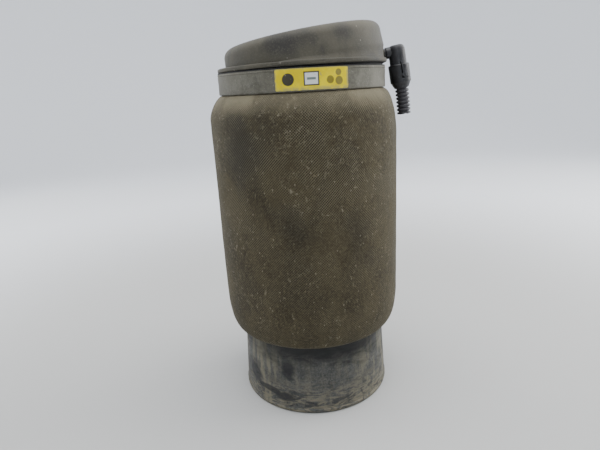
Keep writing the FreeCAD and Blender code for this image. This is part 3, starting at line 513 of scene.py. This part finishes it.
def label_print():
    """A worn yellow label with plain shapes: a disc, a bordered panel with a bar, and three small discs."""
    faded, yellow = (0.560, 0.440, 0.0), (0.680, 0.560, 0.002)
    black, border = (0.045, 0.042, 0.030), (0.050, 0.045, 0.035)
    pale, bar = (0.56, 0.57, 0.54), (0.030, 0.070, 0.060)
    dot, faint_dot = (0.085, 0.070, 0.030), (0.100, 0.090, 0.050)
    grey_dot, dirt = (0.085, 0.075, 0.045), (0.300, 0.265, 0.110)
    soft = 0.25
    s = Shader("label")
    wrap = s.wrap()
    u, v, _ = s.split(wrap)
    place = s.rest()

    def inside(value, centre, half):
        away = s.math("ABSOLUTE", s.minus(value, centre * MM))
        return s.band(away, half * MM + soft * MM, half * MM - soft * MM)

    def panel(x, y, half_x, half_y):
        return s.times(inside(u, x, half_x), inside(v, y, half_y))

    def disc(x, y, radius):
        across = s.minus(u, x * MM)
        up = s.minus(v, y * MM)
        far = s.distance(across, up)
        return s.band(far, (radius + soft) * MM, (radius - soft) * MM)

    worn = s.noise(place, 2.2, 5, 0.7, 0.5)
    colour = s.blend(s.band(s.noise(place, 9, 4), 0.35, 0.65), faded, yellow)
    colour = s.blend(disc(9.0, 7.2, 4.1), colour, black)
    panel_at = (24.8, 7.3)
    colour = s.blend(panel(*panel_at, 5.3, 4.6), colour, border)
    colour = s.blend(panel(*panel_at, 4.4, 3.7), colour, pale)
    colour = s.paint(colour, panel(*panel_at, 3.0, 0.8), 0.8, bar)
    colour = s.paint(colour, disc(37.8, 6.0, 2.6), 0.8, dot)
    colour = s.paint(colour, disc(43.8, 10.6, 2.2), 0.8, faint_dot)
    colour = s.paint(colour, disc(44.2, 5.2, 2.8), 0.8, grey_dot)
    edge = s.minus(1.0, panel(25.4, 7.3, 24.6, 6.4))
    grime = s.most(s.times(edge, s.band(worn, 0.34, 0.52)), s.band(worn, 0.60, 0.70))
    grime = s.most(grime, s.times(s.band(v, 3.2 * MM, 0.4 * MM), s.band(worn, 0.36, 0.56)))
    colour = s.paint(colour, grime, 0.85, dirt)
    rough = s.band(worn, 0.3, 0.7, 0.40, 0.70)
    return s.finish(colour, rough, s.bump(worn, 0.05), Specular_IOR_Level=0.10)


# ------------------------------------------------------------------ pieces

SLEEVE_WALL = 2.2
SLEEVE_R = corners("bellows")[1].x
LOBE_Z = corners("bellows")[0].z
SLEEVE_TOP = corners("bellows")[1].z
FOLD_R = corners("bellows_inner_leg")[1].x + 0.1
LOBE_TOP = LOBE_Z + 31
FOLD_BEND = 5.0
LEG_GAP = 0.4
BAND_LOW, BAND_HIGH = corners("upper_crimp_ring")
BAND_R = BAND_HIGH.x
CRIMP_R = BAND_R - 2.1
SKIRT_TOP_R, SKIRT_TOP_Z = 61.6, 56.2
NECK_R = 45.0

# a shoulder's height under the band, and the power of its superellipse
FULL_SHOULDER, SLACK_SHOULDER = (18.0, 1.5), (36.0, 1.97)
LOBE_POWER = 2.18


def shoulder_inset(below_band, shape):
    """How far inside the sleeve's full radius a shoulder of that shape is, at a depth below the band."""
    tall, power = shape
    up = min(1, max(0, (tall - below_band) / tall))
    return (SLEEVE_R - CRIMP_R) * (1 - (1 - up ** power) ** (1 / power))


def sleeve_outline():
    """Outer face of the sleeve from the lobe's lowest line to the crimp, as (radius, height)."""
    tall, power = FULL_SHOULDER
    shoulder_z = BAND_LOW.z - tall
    under_band = 0.2
    steps = 36
    outline = []
    for i in range(steps + 1):
        turn = math.pi / 2 * (1 - i / steps)
        outline.append((
            FOLD_R + (SLEEVE_R - FOLD_R) * math.cos(turn) ** (2 / LOBE_POWER),
            LOBE_TOP - (LOBE_TOP - LOBE_Z) * math.sin(turn) ** (2 / LOBE_POWER),
        ))
    outline += line(outline[-1], (SLEEVE_R, shoulder_z), 48)
    for i in range(1, steps + 1):
        turn = math.pi / 2 * i / steps
        outline.append((
            CRIMP_R + (SLEEVE_R - CRIMP_R) * math.cos(turn) ** (2 / power),
            shoulder_z + (BAND_LOW.z - under_band - shoulder_z) * math.sin(turn) ** (2 / power),
        ))
    return outline


def make_sleeve():
    """The outer leg and lobe: a closed shell whose inner face follows its outer one, slack and rippled."""
    swing, inset, broad, tight = 0.40, 0.25, 34, 11
    fade_low, fade_high = 15, 12
    crimped_z = BAND_LOW.z - 6
    outer = sleeve_outline()
    top = [(CRIMP_R, SLEEVE_TOP), (CRIMP_R - SLEEVE_WALL, SLEEVE_TOP)]
    inner = []
    for i in range(len(outer) - 1, -1, -1):
        before, after = Vector(outer[max(i - 1, 0)]), Vector(outer[min(i + 1, len(outer) - 1)])
        way = (after - before).normalized()
        inner.append((outer[i][0] - way.y * SLEEVE_WALL, outer[i][1] + way.x * SLEEVE_WALL))
    inner = [(max(r, CRIMP_R - SLEEVE_WALL) if z > crimped_z else r, z) for r, z in inner]
    inner[-1] = (FOLD_R, LOBE_Z + SLEEVE_WALL)
    build = lathe([*outer, *top, *inner])
    for vert in build.verts:
        reach = math.hypot(vert.co.x, vert.co.y)
        depth = max(0, BAND_LOW.z - vert.co.z)
        free = min(1, max(0, (vert.co.z - LOBE_Z) / fade_low)) * min(1, depth / fade_high)
        ripple = noise.noise(Vector((vert.co.x, vert.co.y, vert.co.z * 0.6)) / broad)
        ripple += 0.35 * noise.noise(vert.co / tight)
        slack = shoulder_inset(depth, SLACK_SHOULDER) - shoulder_inset(depth, FULL_SHOULDER)
        port_side = 0.5 + 0.5 * vert.co.x / reach
        vert.co.xy *= 1 + (free * (ripple * swing - inset) - max(0, slack) * port_side) / reach
    piece = finish_mesh("sleeve", build, None, smooth_angle=60)
    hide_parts("bellows")
    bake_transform(piece)
    return piece


def leg_outline(offset):
    """The piston's flank from the lobe to the neck, moved outwards, as (radius, height)."""
    big, small, turn = 50.0, 10.0, 36
    lean = math.radians(turn)
    centre = (SKIRT_TOP_R - big, SKIRT_TOP_Z)
    start = math.degrees(math.asin((LOBE_Z + FOLD_BEND - SKIRT_TOP_Z) / (big + offset)))
    convex = arc(centre, big + offset, start, turn, 14)
    slope_r = NECK_R + small * (1 - math.cos(lean))
    slope = (centre[0] + big * math.cos(lean) - slope_r) / math.sin(lean)
    fillet_z = SKIRT_TOP_Z + (big + small) * math.sin(lean) + slope * math.cos(lean)
    concave = arc((NECK_R + small, fillet_z), small - offset, 180 + turn, 180, 10)
    return [*convex, *concave, (NECK_R + offset, corners("bellows_inner_leg")[1].z)]


def make_sleeve_leg():
    """The sleeve's inner leg, which lies on the piston and joins the lobe at its lowest line."""
    near, far = leg_outline(LEG_GAP), leg_outline(LEG_GAP + SLEEVE_WALL)
    fold = (FOLD_R, LOBE_Z + FOLD_BEND)
    inner_turn = arc(fold, FOLD_BEND, 184, 262, 10)
    outer_turn = arc(fold, FOLD_BEND - SLEEVE_WALL, 262, 184, 8)
    profile = [
        *reversed(near), *inner_turn, (FOLD_R - 0.1, LOBE_Z), (FOLD_R - 0.1, LOBE_Z + SLEEVE_WALL),
        *outer_turn, *far[1:],
    ]
    piece = finish_mesh("sleeve_leg", lathe(profile), None, smooth_angle=60)
    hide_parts("bellows_inner_leg")
    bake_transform(piece)
    return piece


def make_piston():
    """The moulded piston: a tapered skirt, a rounded foot, a shoulder, a grooved neck and a closed head."""
    head = corners("piston_shell")[1].z
    lip = corners("piston_shell")[1].x
    base_r = corners("piston_base")[1].x + 0.1
    ledge = corners("piston_base")[0].z + 11.2
    wall, roof, skirt_bore = 3.4, 5, 59.0
    groove, groove_half, groove_pitch, first_groove = 0.8, 0.9, 5, 19
    rim_r, cup_r, cup_depth = NECK_R + 3, 12, 24
    outside = [
        (base_r, 0.5), *arc((base_r + 0.4, 0.4), 0.4, 180, 270, 3), (lip - 2.4, 0),
        *arc((lip - 1.8, 1.8), 1.8, 290, 350, 6), (lip, 3.0), *arc((lip - 0.5, 3.1), 0.5, 0, 60, 3),
        *arc((lip, 4.2), 0.6, 240, 180, 3),
    ]
    outside += line(outside[-1], (SKIRT_TOP_R, SKIRT_TOP_Z), 24)
    outside += leg_outline(0)[1:-1]
    for step in range(3):
        middle = head - first_groove + groove_pitch * step
        outside += [(NECK_R, middle - groove_half), (NECK_R - groove, middle), (NECK_R, middle + groove_half)]
    rim = [
        (NECK_R, head - 4), *arc((rim_r - 0.7, head - 3.3), 0.7, 270, 360, 3),
        *arc((rim_r - 1, head - 1), 1, 0, 90, 4),
    ]
    inside = [
        (0, head), (0, head - cup_depth), (cup_r - 0.5, head - cup_depth), (cup_r, head - cup_depth + 0.5),
        (cup_r, head - roof - 1), (cup_r + 1, head - roof),
        (NECK_R - wall - 1, head - roof), (NECK_R - wall, head - roof - 1),
        *reversed(leg_outline(-wall)[:-1]),
        (skirt_bore + 0.1, 40), (skirt_bore, ledge + 1), (skirt_bore + 0.6, ledge), (base_r, ledge),
    ]
    piece = lathe([*outside, *rim, *inside])
    return finish_mesh("piston", piece, "piston", ["piston_shell"], 35)


def air_port():
    """The air port's place on the cap, in millimetres, and the swivel's axis."""
    swivel = JOINTS["elbow_swivel"]
    return Vector(swivel["pos_m"]) / MM, Vector(swivel["axis"])


def make_cap():
    """The slanted dome, its flange and its socket as one moulding, with the port boss joined on."""
    foot = Vector((3.4, 0, 276.0))
    lean, rise, draft, edge, wall = 7.5, 21.5, 5.7, 7.2, 4.0
    dome_r, flange_r, flange_lean, lip = 62.8, 66.4, FLANGE_LEAN, 0.9
    under_r, socket_r, groove_r, bore_r = 63.6, 57, 55.4, 53
    seat, mouth = 272.6, 262
    axis = Matrix.Rotation(-math.radians(lean), 3, "Y") @ UP
    slope = math.tan(math.radians(draft))
    flange = Vector((FLANGE_X, 0, 273.7))
    flange_axis = Matrix.Rotation(-math.radians(flange_lean), 3, "Y") @ UP

    def dome(height, radius):
        return foot + axis * height, radius, lean

    def rim(height, radius):
        return flange + flange_axis * height, radius, flange_lean

    shoulder_r = dome_r - (rise - edge) * slope
    outer = [dome(rise, 0)]
    outer += [dome(rise - 0.25 * (r / 55) ** 2, r) for r in (6, 14, 22, 30, 38, 46)]
    turn_centre = shoulder_r - edge
    for i in range(13):
        angle = math.radians(90 - 7 * i)
        outer.append(dome(rise - edge + edge * math.sin(angle), turn_centre + edge * math.cos(angle)))
    outer += [dome(h, dome_r - h * slope) for h in (13, 10, 7, 4.5, 3.2)]
    top_at, top_r, top_lean = dome(3.2, dome_r - 3.2 * slope)
    flange_at, fillet_r, _ = rim(3.0, dome_r + 1.7)
    blend_steps = 6
    for i in range(1, blend_steps):
        t = i / blend_steps
        outer.append((
            top_at.lerp(flange_at, t), top_r + (fillet_r - top_r) * t * t,
            top_lean + (flange_lean - top_lean) * t,
        ))
    outer += [rim(3.0, fillet_r), rim(3.0, flange_r - lip)]
    outer += [rim(3 - lip + lip * math.cos(a), flange_r - lip + lip * math.sin(a)) for a in (0.5, 1.0, 1.57)]
    outer += [rim(lip - lip * math.sin(a), flange_r - lip + lip * math.cos(a)) for a in (0, 0.5, 1.0, 1.57)]
    flat = [((0, 0, z), r, 0) for r, z in (
        (under_r + 0.2, seat + 0.8), (under_r, seat + 0.05), (socket_r + 0.2, seat), (socket_r, seat - 1.1),
        (socket_r, mouth + 6.5), (groove_r, mouth + 6.4), (groove_r, mouth + 3), (socket_r, mouth + 2.9),
        (socket_r, mouth + 0.8), (socket_r - 0.8, mouth), (bore_r + 0.8, mouth), (bore_r, mouth + 0.8),
        (bore_r, mouth + 8), (bore_r, seat + 4.4),
    )]
    inner_r = dome_r - wall
    inner = [dome(h, inner_r - h * slope) for h in (5.5, 10, rise - wall - 4)]
    inner += [dome(rise - wall, inner_r - (rise - wall) * slope - 4), dome(rise - wall, 0)]
    build = bmesh.new()
    ring_surface(build, [*outer, *flat, *inner])
    port, way = air_port()
    turn = (-way).to_track_quat("Z", "Y").to_matrix().to_4x4()
    boss, hole = (5.2, 10.4, 20.0), (4.25, 8.0, 26.5)
    for (radius, near, far), operation in ((boss, "UNION"), (hole, "DIFFERENCE")):
        bar = tube([(0, near), (radius, near), (radius, far), (0, far)], 64)
        bmesh.ops.transform(bar, matrix=Matrix.Translation(port) @ turn, verts=bar.verts)
        build = cut_or_join(build, bar, operation)
    return finish_mesh("cap", build, "top", ["upper_cap"], 32)


def make_band():
    """The swaged band, with softened edges, a rolled bead under its top edge and slight crimping dents."""
    low, high, outer = BAND_LOW.z, BAND_HIGH.z, BAND_R
    inner = outer - 1.8
    waist = (outer - 0.1, low + 7.5)
    profile = [
        (inner, low + 0.3), (inner + 0.3, low), *arc((outer - 0.7, low + 0.7), 0.7, 270, 350, 5),
        *line((outer, low + 0.9), waist, 4), *line(waist, (outer, high - 2.4), 4),
        (outer - 0.28, high - 2.1), (outer - 0.30, high - 1.8), (outer - 0.02, high - 1.5),
        *arc((outer - 0.7, high - 0.7), 0.7, 10, 90, 5), (inner - 1.3, high), (inner - 1.5, high - 0.2),
        (inner - 1.5, high - 0.8), (inner - 1.3, high - 1), (inner - 0.2, high - 1), (inner, high - 1.3),
    ]
    build = lathe(profile)
    dent, apart = 0.14, 13
    for vert in build.verts:
        reach = math.hypot(vert.co.x, vert.co.y)
        if reach > outer - 1:
            vert.co.xy *= 1 - dent * (0.5 + 0.5 * noise.noise(vert.co / apart)) / reach
    return finish_mesh("band", build, "top", ["upper_crimp_ring"], 35)


def make_label():
    """The label: a thin curved sheet with rounded corners and slightly ragged edges, laid on the band."""
    low, high = corners("info_label")
    start, end = math.radians(-106.8), math.radians(-62.4)
    radius, thick, corner_r = BAND_R + 0.02, 0.14, 1.2
    wide, tall = (end - start) * radius, high.z - low.z
    steps_x, steps_z = 72, 16

    def rounded(across, up):
        inset_x = max(0, corner_r - min(across, wide - across)) / corner_r
        inset_z = max(0, corner_r - min(up, tall - up)) / corner_r
        far = math.hypot(inset_x, inset_z)
        if inset_x and inset_z and far > 1:
            pull = (1 - 1 / far) * corner_r
            across += pull * (inset_x if across < wide / 2 else -inset_x)
            up += pull * (inset_z if up < tall / 2 else -inset_z)
        return across, up

    def place(side, i, k):
        across, up = rounded(i / steps_x * wide, k / steps_z * tall)
        ragged = 0.18 * noise.noise(Vector((across, up, 3)) / 2.5)
        if k in (0, steps_z):
            up += ragged if k == 0 else -abs(ragged)
        angle = start + across / radius
        reach = radius + (thick + 0.03 * noise.noise(Vector((across, up, 9)) / 4)) * side
        return reach * math.cos(angle), reach * math.sin(angle), low.z + up

    build = bmesh.new()
    wrap = build.loops.layers.uv.new("wrap")
    grid = {
        (side, i, k): build.verts.new(place(side, i, k))
        for side in (0, 1) for i in range(steps_x + 1) for k in range(steps_z + 1)
    }
    for side in (0, 1):
        for i in range(steps_x):
            for k in range(steps_z):
                cells = [(i, k), (i + 1, k), (i + 1, k + 1), (i, k + 1)]
                face = build.faces.new([grid[(side, *cell)] for cell in cells])
                for loop, (a, b) in zip(face.loops, cells):
                    loop[wrap].uv = (a / steps_x * wide * MM, b / steps_z * tall * MM)
    border = [(i, 0) for i in range(steps_x)] + [(steps_x, k) for k in range(steps_z)]
    border += [(steps_x - i, steps_z) for i in range(steps_x)] + [(0, steps_z - k) for k in range(steps_z)]
    for here, there in zip(border, border[1:] + border[:1]):
        build.faces.new([grid[(0, *here)], grid[(0, *there)], grid[(1, *there)], grid[(1, *here)]])
    return finish_mesh("plain_label", build, "top", ["info_label"], 60)


# ------------------------------------------------------------------ air fitting


def to_port(build):
    """Moves a bmesh from the fitting's own frame to its place on the cap."""
    port, way = air_port()
    turn = Matrix.Rotation(-math.atan2(way.z, way.x), 4, "Y")
    bmesh.ops.transform(build, matrix=Matrix.Translation(port) @ turn, verts=build.verts)
    return build


def lathe_x(profile):
    """A bmesh turned about X from (x, radius) points that start and end on the axis."""
    build = tube([(r, x) for x, r in profile], 96)
    bmesh.ops.rotate(build, matrix=Matrix.Rotation(math.radians(90), 3, "Y"), verts=build.verts)
    return build


def block(low, high, soft):
    """A box between two corners with bevelled edges."""
    build = bmesh.new()
    bmesh.ops.create_cube(build, size=1)
    low, high = Vector(low), Vector(high)
    for vert in build.verts:
        vert.co = Vector((c * (b - a) + (a + b) / 2 for c, a, b in zip(vert.co, low, high)))
    bmesh.ops.bevel(build, geom=build.edges[:], offset=soft, segments=2, affect="EDGES", profile=0.5)
    return build


def tube(points, around=48):
    """A closed bmesh turned about Z from (radius, height) points that start and end on the axis."""
    return lathe(points, closed=False, around=around)


LEG_R, COLLAR_R = 6.6, 8.2
LEG_TOP, COLLAR_TOP, COLLAR_FOOT, CONE_FOOT = 4.9, -9.9, -23.8, -27.8
FLAP_FOOT = -20.6
SLOT = 1.0
HINGE_Y, HINGE_R, PIN_R = 10.15, 1.6, 0.7


def on_hinge(build):
    """Moves a bmesh from the fitting's own axis to the hinge's."""
    bmesh.ops.translate(build, vec=Vector((0, HINGE_Y, 0)), verts=build.verts)
    return build


def knuckle(low, high, soft):
    """A round boss on the hinge's axis, with softened ends."""
    return on_hinge(tube([
        (0, low), (HINGE_R - soft, low), (HINGE_R, low + soft), (HINGE_R, high - soft),
        (HINGE_R - soft, high), (0, high),
    ]))


def pin_hole(low, high, play):
    """The tool that bores a knuckle for the pin."""
    return on_hinge(tube([(0, low), (PIN_R + play, low), (PIN_R + play, high), (0, high)], 32))


def outer_half(parting=0):
    """A tool that keeps what lies beyond the parting plane, on the side away from the cap."""
    return block((parting, -30, -40), (30, 30, 10), 0.01)


def make_spigot():
    """The hollow spigot that turns in the port, with grooves for its clip and its two seals."""
    hub_r, shaft_r, clip_r, seal_r, bore_r, tip = 4.35, 3.4, 2.7, 2.45, 1.5, -26
    profile = [(0, 0), (0, hub_r), (-8.6, hub_r), (-9.1, 3.9), (-9.1, shaft_r)]
    for near, far, groove_r in ((-15.9, -17.1, clip_r), (-20, -21.2, seal_r), (-22.6, -23.8, seal_r)):
        profile += [(near, shaft_r), (near, groove_r), (far, groove_r), (far, shaft_r)]
    profile += [(tip + 0.4, shaft_r), (tip, 3.0), (tip, bore_r), (-4, bore_r), (-4, 0)]
    return lathe_x(profile)


def make_elbow():
    """The elbow: leg, collar, spigot and hinge lugs in one moulding, open where the flap closes."""
    conduit_r, pipe_r, conduit_end, pipe_end = 5.6, 4.4, -20.8, -13
    outside = [
        (0, LEG_TOP), (1.2, LEG_TOP), *arc((LEG_R - 3.4, LEG_TOP - 3.0), 3.0, 84, 24, 7),
        (LEG_R, LEG_TOP - 3.2), (LEG_R, COLLAR_TOP + 0.4),
        *arc((LEG_R + 0.4, COLLAR_TOP + 0.4), 0.4, 180, 270, 3),
        *arc((COLLAR_R - 1, COLLAR_TOP - 1), 1, 90, 0, 5), (COLLAR_R, COLLAR_FOOT + 0.8),
        *arc((COLLAR_R - 1.2, COLLAR_FOOT + 0.8), 1.2, 0, -50, 5), (6.1, CONE_FOOT + 0.6),
        (6.0, CONE_FOOT + 0.1), (5.9, CONE_FOOT), (5.7, CONE_FOOT), (conduit_r, CONE_FOOT + 0.2),
        (conduit_r, conduit_end), (pipe_r, conduit_end), (pipe_r, pipe_end), (0, pipe_end),
    ]
    build = tube(outside, 128)
    build = cut_or_join(build, make_spigot(), "UNION")
    gap = [
        (LEG_R + 0.05, FLAP_FOOT), (COLLAR_R + 2, FLAP_FOOT), (COLLAR_R + 2, COLLAR_TOP + 1),
        (LEG_R + 0.05, COLLAR_TOP + 1),
    ]
    cutter = cut_or_join(lathe(gap, around=128), outer_half(), "INTERSECT")
    build = cut_or_join(build, cutter, "DIFFERENCE")
    slot = block((0, -COLLAR_R - 1, FLAP_FOOT), (SLOT, -LEG_R + 1.6, COLLAR_TOP + 1.8), 0.05)
    build = cut_or_join(build, slot, "DIFFERENCE")
    for low, high in ((FLAP_FOOT, FLAP_FOOT + 3), (COLLAR_TOP - 2.6, COLLAR_TOP)):
        build = cut_or_join(build, knuckle(low, high, 0.3), "UNION")
        web = block((-3.2, HINGE_Y - 3.2, low), (-0.02, HINGE_Y - 0.1, high), 0.2)
        build = cut_or_join(build, web, "UNION")
    build = cut_or_join(build, pin_hole(FLAP_FOOT - 1, COLLAR_TOP + 2, 0.02), "DIFFERENCE")
    return finish_mesh("elbow", to_port(build), "elbow", ["elbow_body"], 35)


def make_flap():
    """The collar's hinged half, with its knuckle and snap nose."""
    foot, head, inner, part = FLAP_FOOT + 0.25, COLLAR_TOP, COLLAR_R - 1.4, 0.2
    ring = lathe([
        (inner, foot + 0.2), (inner + 0.2, foot), (COLLAR_R - 0.3, foot), (COLLAR_R, foot + 0.3),
        (COLLAR_R, head - 1), *arc((COLLAR_R - 1, head - 1), 1, 20, 90, 4), (inner + 0.2, head),
        (inner, head - 0.2),
    ], around=128)
    build = cut_or_join(ring, outer_half(part), "INTERSECT")
    low, high = FLAP_FOOT + 3.2, COLLAR_TOP - 2.8
    web = block((part, HINGE_Y - 2.6, low), (2.1, HINGE_Y - 0.2, high), 0.15)
    build = cut_or_join(build, web, "UNION")
    build = cut_or_join(build, knuckle(low, high, 0.25), "UNION")
    slot = block((0, -COLLAR_R - 1, FLAP_FOOT - 1), (SLOT, -COLLAR_R + 3, COLLAR_TOP + 1), 0.05)
    build = cut_or_join(build, slot, "DIFFERENCE")
    nose = block((part, -COLLAR_R - 0.5, -19.2), (2.6, -COLLAR_R + 0.4, -17.0), 0.15)
    build = cut_or_join(build, nose, "UNION")
    build = cut_or_join(build, pin_hole(low - 1, high + 1, 0.05), "DIFFERENCE")
    return finish_mesh("collar_flap", to_port(build), "flap", ["conduit_flap"], 35)


def make_conduit():
    """The cut stub of corrugated conduit: round crests, narrow valleys and a slightly ragged cut."""
    bend_r, bend, top, foot = 150.0, math.radians(3.5), -4.5, 21.2
    crest, valley, bore, pitch, half_rib = 5.5, 4.1, 3.4, 2.95, 1.2

    def centre_at(distance):
        angle = min(max(distance, 0) / bend_r, bend)
        spare = max(0, distance - bend_r * bend) + min(distance, 0)
        x = bend_r * (math.cos(angle) - 1) - spare * math.sin(angle)
        z = -bend_r * math.sin(angle) - spare * math.cos(angle)
        return Vector((x, 0, CONE_FOOT + z)), -math.degrees(angle)

    def wave(distance):
        turns = (foot - 0.9 - distance) / pitch
        off_crest = abs(turns - round(turns)) * pitch
        return valley + (crest - valley) * math.sqrt(max(0, 1 - (off_crest / half_rib) ** 2))

    steps = 170
    places = [top + (foot - top) * i / steps for i in range(steps + 1)]
    outside = [(distance, wave(distance)) for distance in places]
    inside = [(distance, bore) for distance in places[::-5]]
    rings = []
    for distance, radius in outside + inside:
        centre, lean = centre_at(distance)
        rings.append((centre, radius, lean))
    build = bmesh.new()
    ring_surface(build, rings, closed=True, around=96)
    fade, ragged = 1.2, 0.35
    for vert in build.verts:
        near_cut = max(0, (CONE_FOOT - foot + fade - vert.co.z) / fade)
        vert.co.z += near_cut * ragged * (1 + noise.noise(Vector((vert.co.x, vert.co.y, 0)) / 2.2))
    return finish_mesh("corrugated_conduit", to_port(build), "elbow", ["conduit"], 50)


# ------------------------------------------------------------------ stage


def make_camera():
    """Stands close in front, as high as the band, and looks down a little. Pitch and roll are in radians."""
    place = Vector((-7.7, -394.3, 259.2)) * MM
    pitch, roll = 0.2836, 0.0565
    forward = Vector((0, math.cos(pitch), -math.sin(pitch)))
    level = Vector((1, 0, 0))
    down = forward.cross(level)
    right = math.cos(roll) * level + math.sin(roll) * down
    up = -(-math.sin(roll) * level + math.cos(roll) * down)
    data = bpy.data.cameras.new("camera")
    data.lens = 28.25
    data.sensor_width = 36
    camera = bpy.data.objects.new("camera", data)
    camera.matrix_world = Matrix.Translation(place) @ Matrix((right, up, -forward)).transposed().to_4x4()
    bpy.context.scene.collection.objects.link(camera)
    bpy.context.scene.camera = camera


def make_stage():
    """A pale floor that curves up into a pale wall all round."""
    floor_r, wall_r, wall_top, level = 1500, 2500, 2650, -0.1
    near, far_away = (0.46, 0.46, 0.45), (0.80, 0.815, 0.84)
    bend = wall_r - floor_r
    profile = [(radius, level) for radius in (0, 300, 600, floor_r)]
    profile += [*arc((floor_r, bend + level), bend, 275, 360, 16), (wall_r, wall_top)]
    build = lathe(profile, closed=False, around=96)
    floor = finish_mesh("stage_floor", build, None, smooth_angle=80)
    s = Shader("stage")
    x, y, _ = s.split(s.rest())
    far = s.distance(x, y)
    colour = s.blend(s.band(far, 0.25, 0.85), near, far_away)
    put_on(floor, s.finish(colour, 0.7, Specular_IOR_Level=0.2))


def area_light(name, place, target, size_m, power, colour=(1, 1, 1)):
    """A rectangular lamp that faces its target."""
    data = bpy.data.lights.new(name, "AREA")
    data.shape = "RECTANGLE"
    data.size, data.size_y = size_m
    data.energy = power
    data.color = colour
    light = bpy.data.objects.new(name, data)
    light.location = place
    light.rotation_euler = (Vector(target) - Vector(place)).to_track_quat("-Z", "Y").to_euler()
    bpy.context.scene.collection.objects.link(light)


def make_lights():
    """A pale sky, a soft lamp behind each side and one overhead."""
    sky, warm = (0.93, 0.96, 1.0, 1.0), (1.0, 0.99, 0.97)
    world = bpy.data.worlds.new("studio")
    world.use_nodes = True
    background = world.node_tree.nodes["Background"]
    background.inputs["Color"].default_value = sky
    background.inputs["Strength"].default_value = 1.35
    bpy.context.scene.world = world
    middle = (0, 0, 0.16)
    area_light("left_back", (-0.95, 0.45, 0.75), middle, (0.9, 1.1), 6.5, warm)
    area_light("right_back", (1.05, 0.25, 0.65), middle, (0.9, 1.1), 14, warm)
    area_light("overhead", (0.1, -0.15, 1.35), middle, (1.2, 0.9), 14)


# ------------------------------------------------------------------ make everything

make_camera()
make_stage()
make_lights()

MATERIALS = {
    "sleeve_rubber": sleeve_rubber(),
    "cap_plastic": cap_plastic(),
    "band_metal": band_metal(),
    "label": label_print(),
    "piston_plastic": piston_plastic(),
    "fitting_plastic": fitting_plastic(
        "fitting_plastic", (0.34, 0.52), (0.010, 0.010, 0.011), (0.018, 0.018, 0.020), (0.065, 0.063, 0.060),
    ),
    "conduit_plastic": fitting_plastic(
        "conduit_plastic", (0.34, 0.50), (0.022, 0.021, 0.024), (0.038, 0.036, 0.041), (0.110, 0.105, 0.108),
    ),
}
PLAIN = {
    # the closure is near-black as painted shade in the gap under the cap's flange
    "cap_plastic": fitting_plastic(
        "closure_plastic_painted_shade", (0.6, 0.8), (0.006, 0.006, 0.006), (0.010, 0.010, 0.010), (0.024, 0.023, 0.021),
        on_rest=False,
    ),
    "piston_plastic": fitting_plastic(
        "piston_underside", (0.5, 0.7), (0.085, 0.085, 0.083), (0.125, 0.124, 0.118), (0.22, 0.20, 0.15),
        on_rest=False,
    ),
    "pipe_plastic": fitting_plastic(
        "pipe_plastic", (0.3, 0.45), (0.030, 0.030, 0.034), (0.045, 0.045, 0.050), (0.090, 0.088, 0.084),
        on_rest=False,
    ),
    "seal_rubber": fitting_plastic(
        "seal_rubber", (0.55, 0.75), (0.012, 0.012, 0.013), (0.020, 0.020, 0.021), (0.040, 0.040, 0.040),
        on_rest=False,
    ),
    "steel": metal("steel", (0.56, 0.56, 0.55), (0.36, 0.35, 0.33), (0.25, 0.45)),
    "brass": metal("brass", (0.66, 0.48, 0.20), (0.42, 0.30, 0.13), (0.22, 0.42)),
    "bump_foam": cellular_foam(),
}

for subpart in frame["record"]["subparts"]:
    if subpart["material_slot"] in PLAIN:
        put_on(NODES[subpart["node"]], PLAIN[subpart["material_slot"]])

for piece, slot in (
    (make_sleeve(), "sleeve_rubber"),
    (make_sleeve_leg(), "sleeve_rubber"),
    (make_piston(), "piston_plastic"),
    (make_cap(), "cap_plastic"),
    (make_band(), "band_metal"),
    (make_label(), "label"),
    (make_elbow(), "fitting_plastic"),
    (make_flap(), "fitting_plastic"),
    (make_conduit(), "conduit_plastic"),
):
    put_on(piece, MATERIALS[slot])
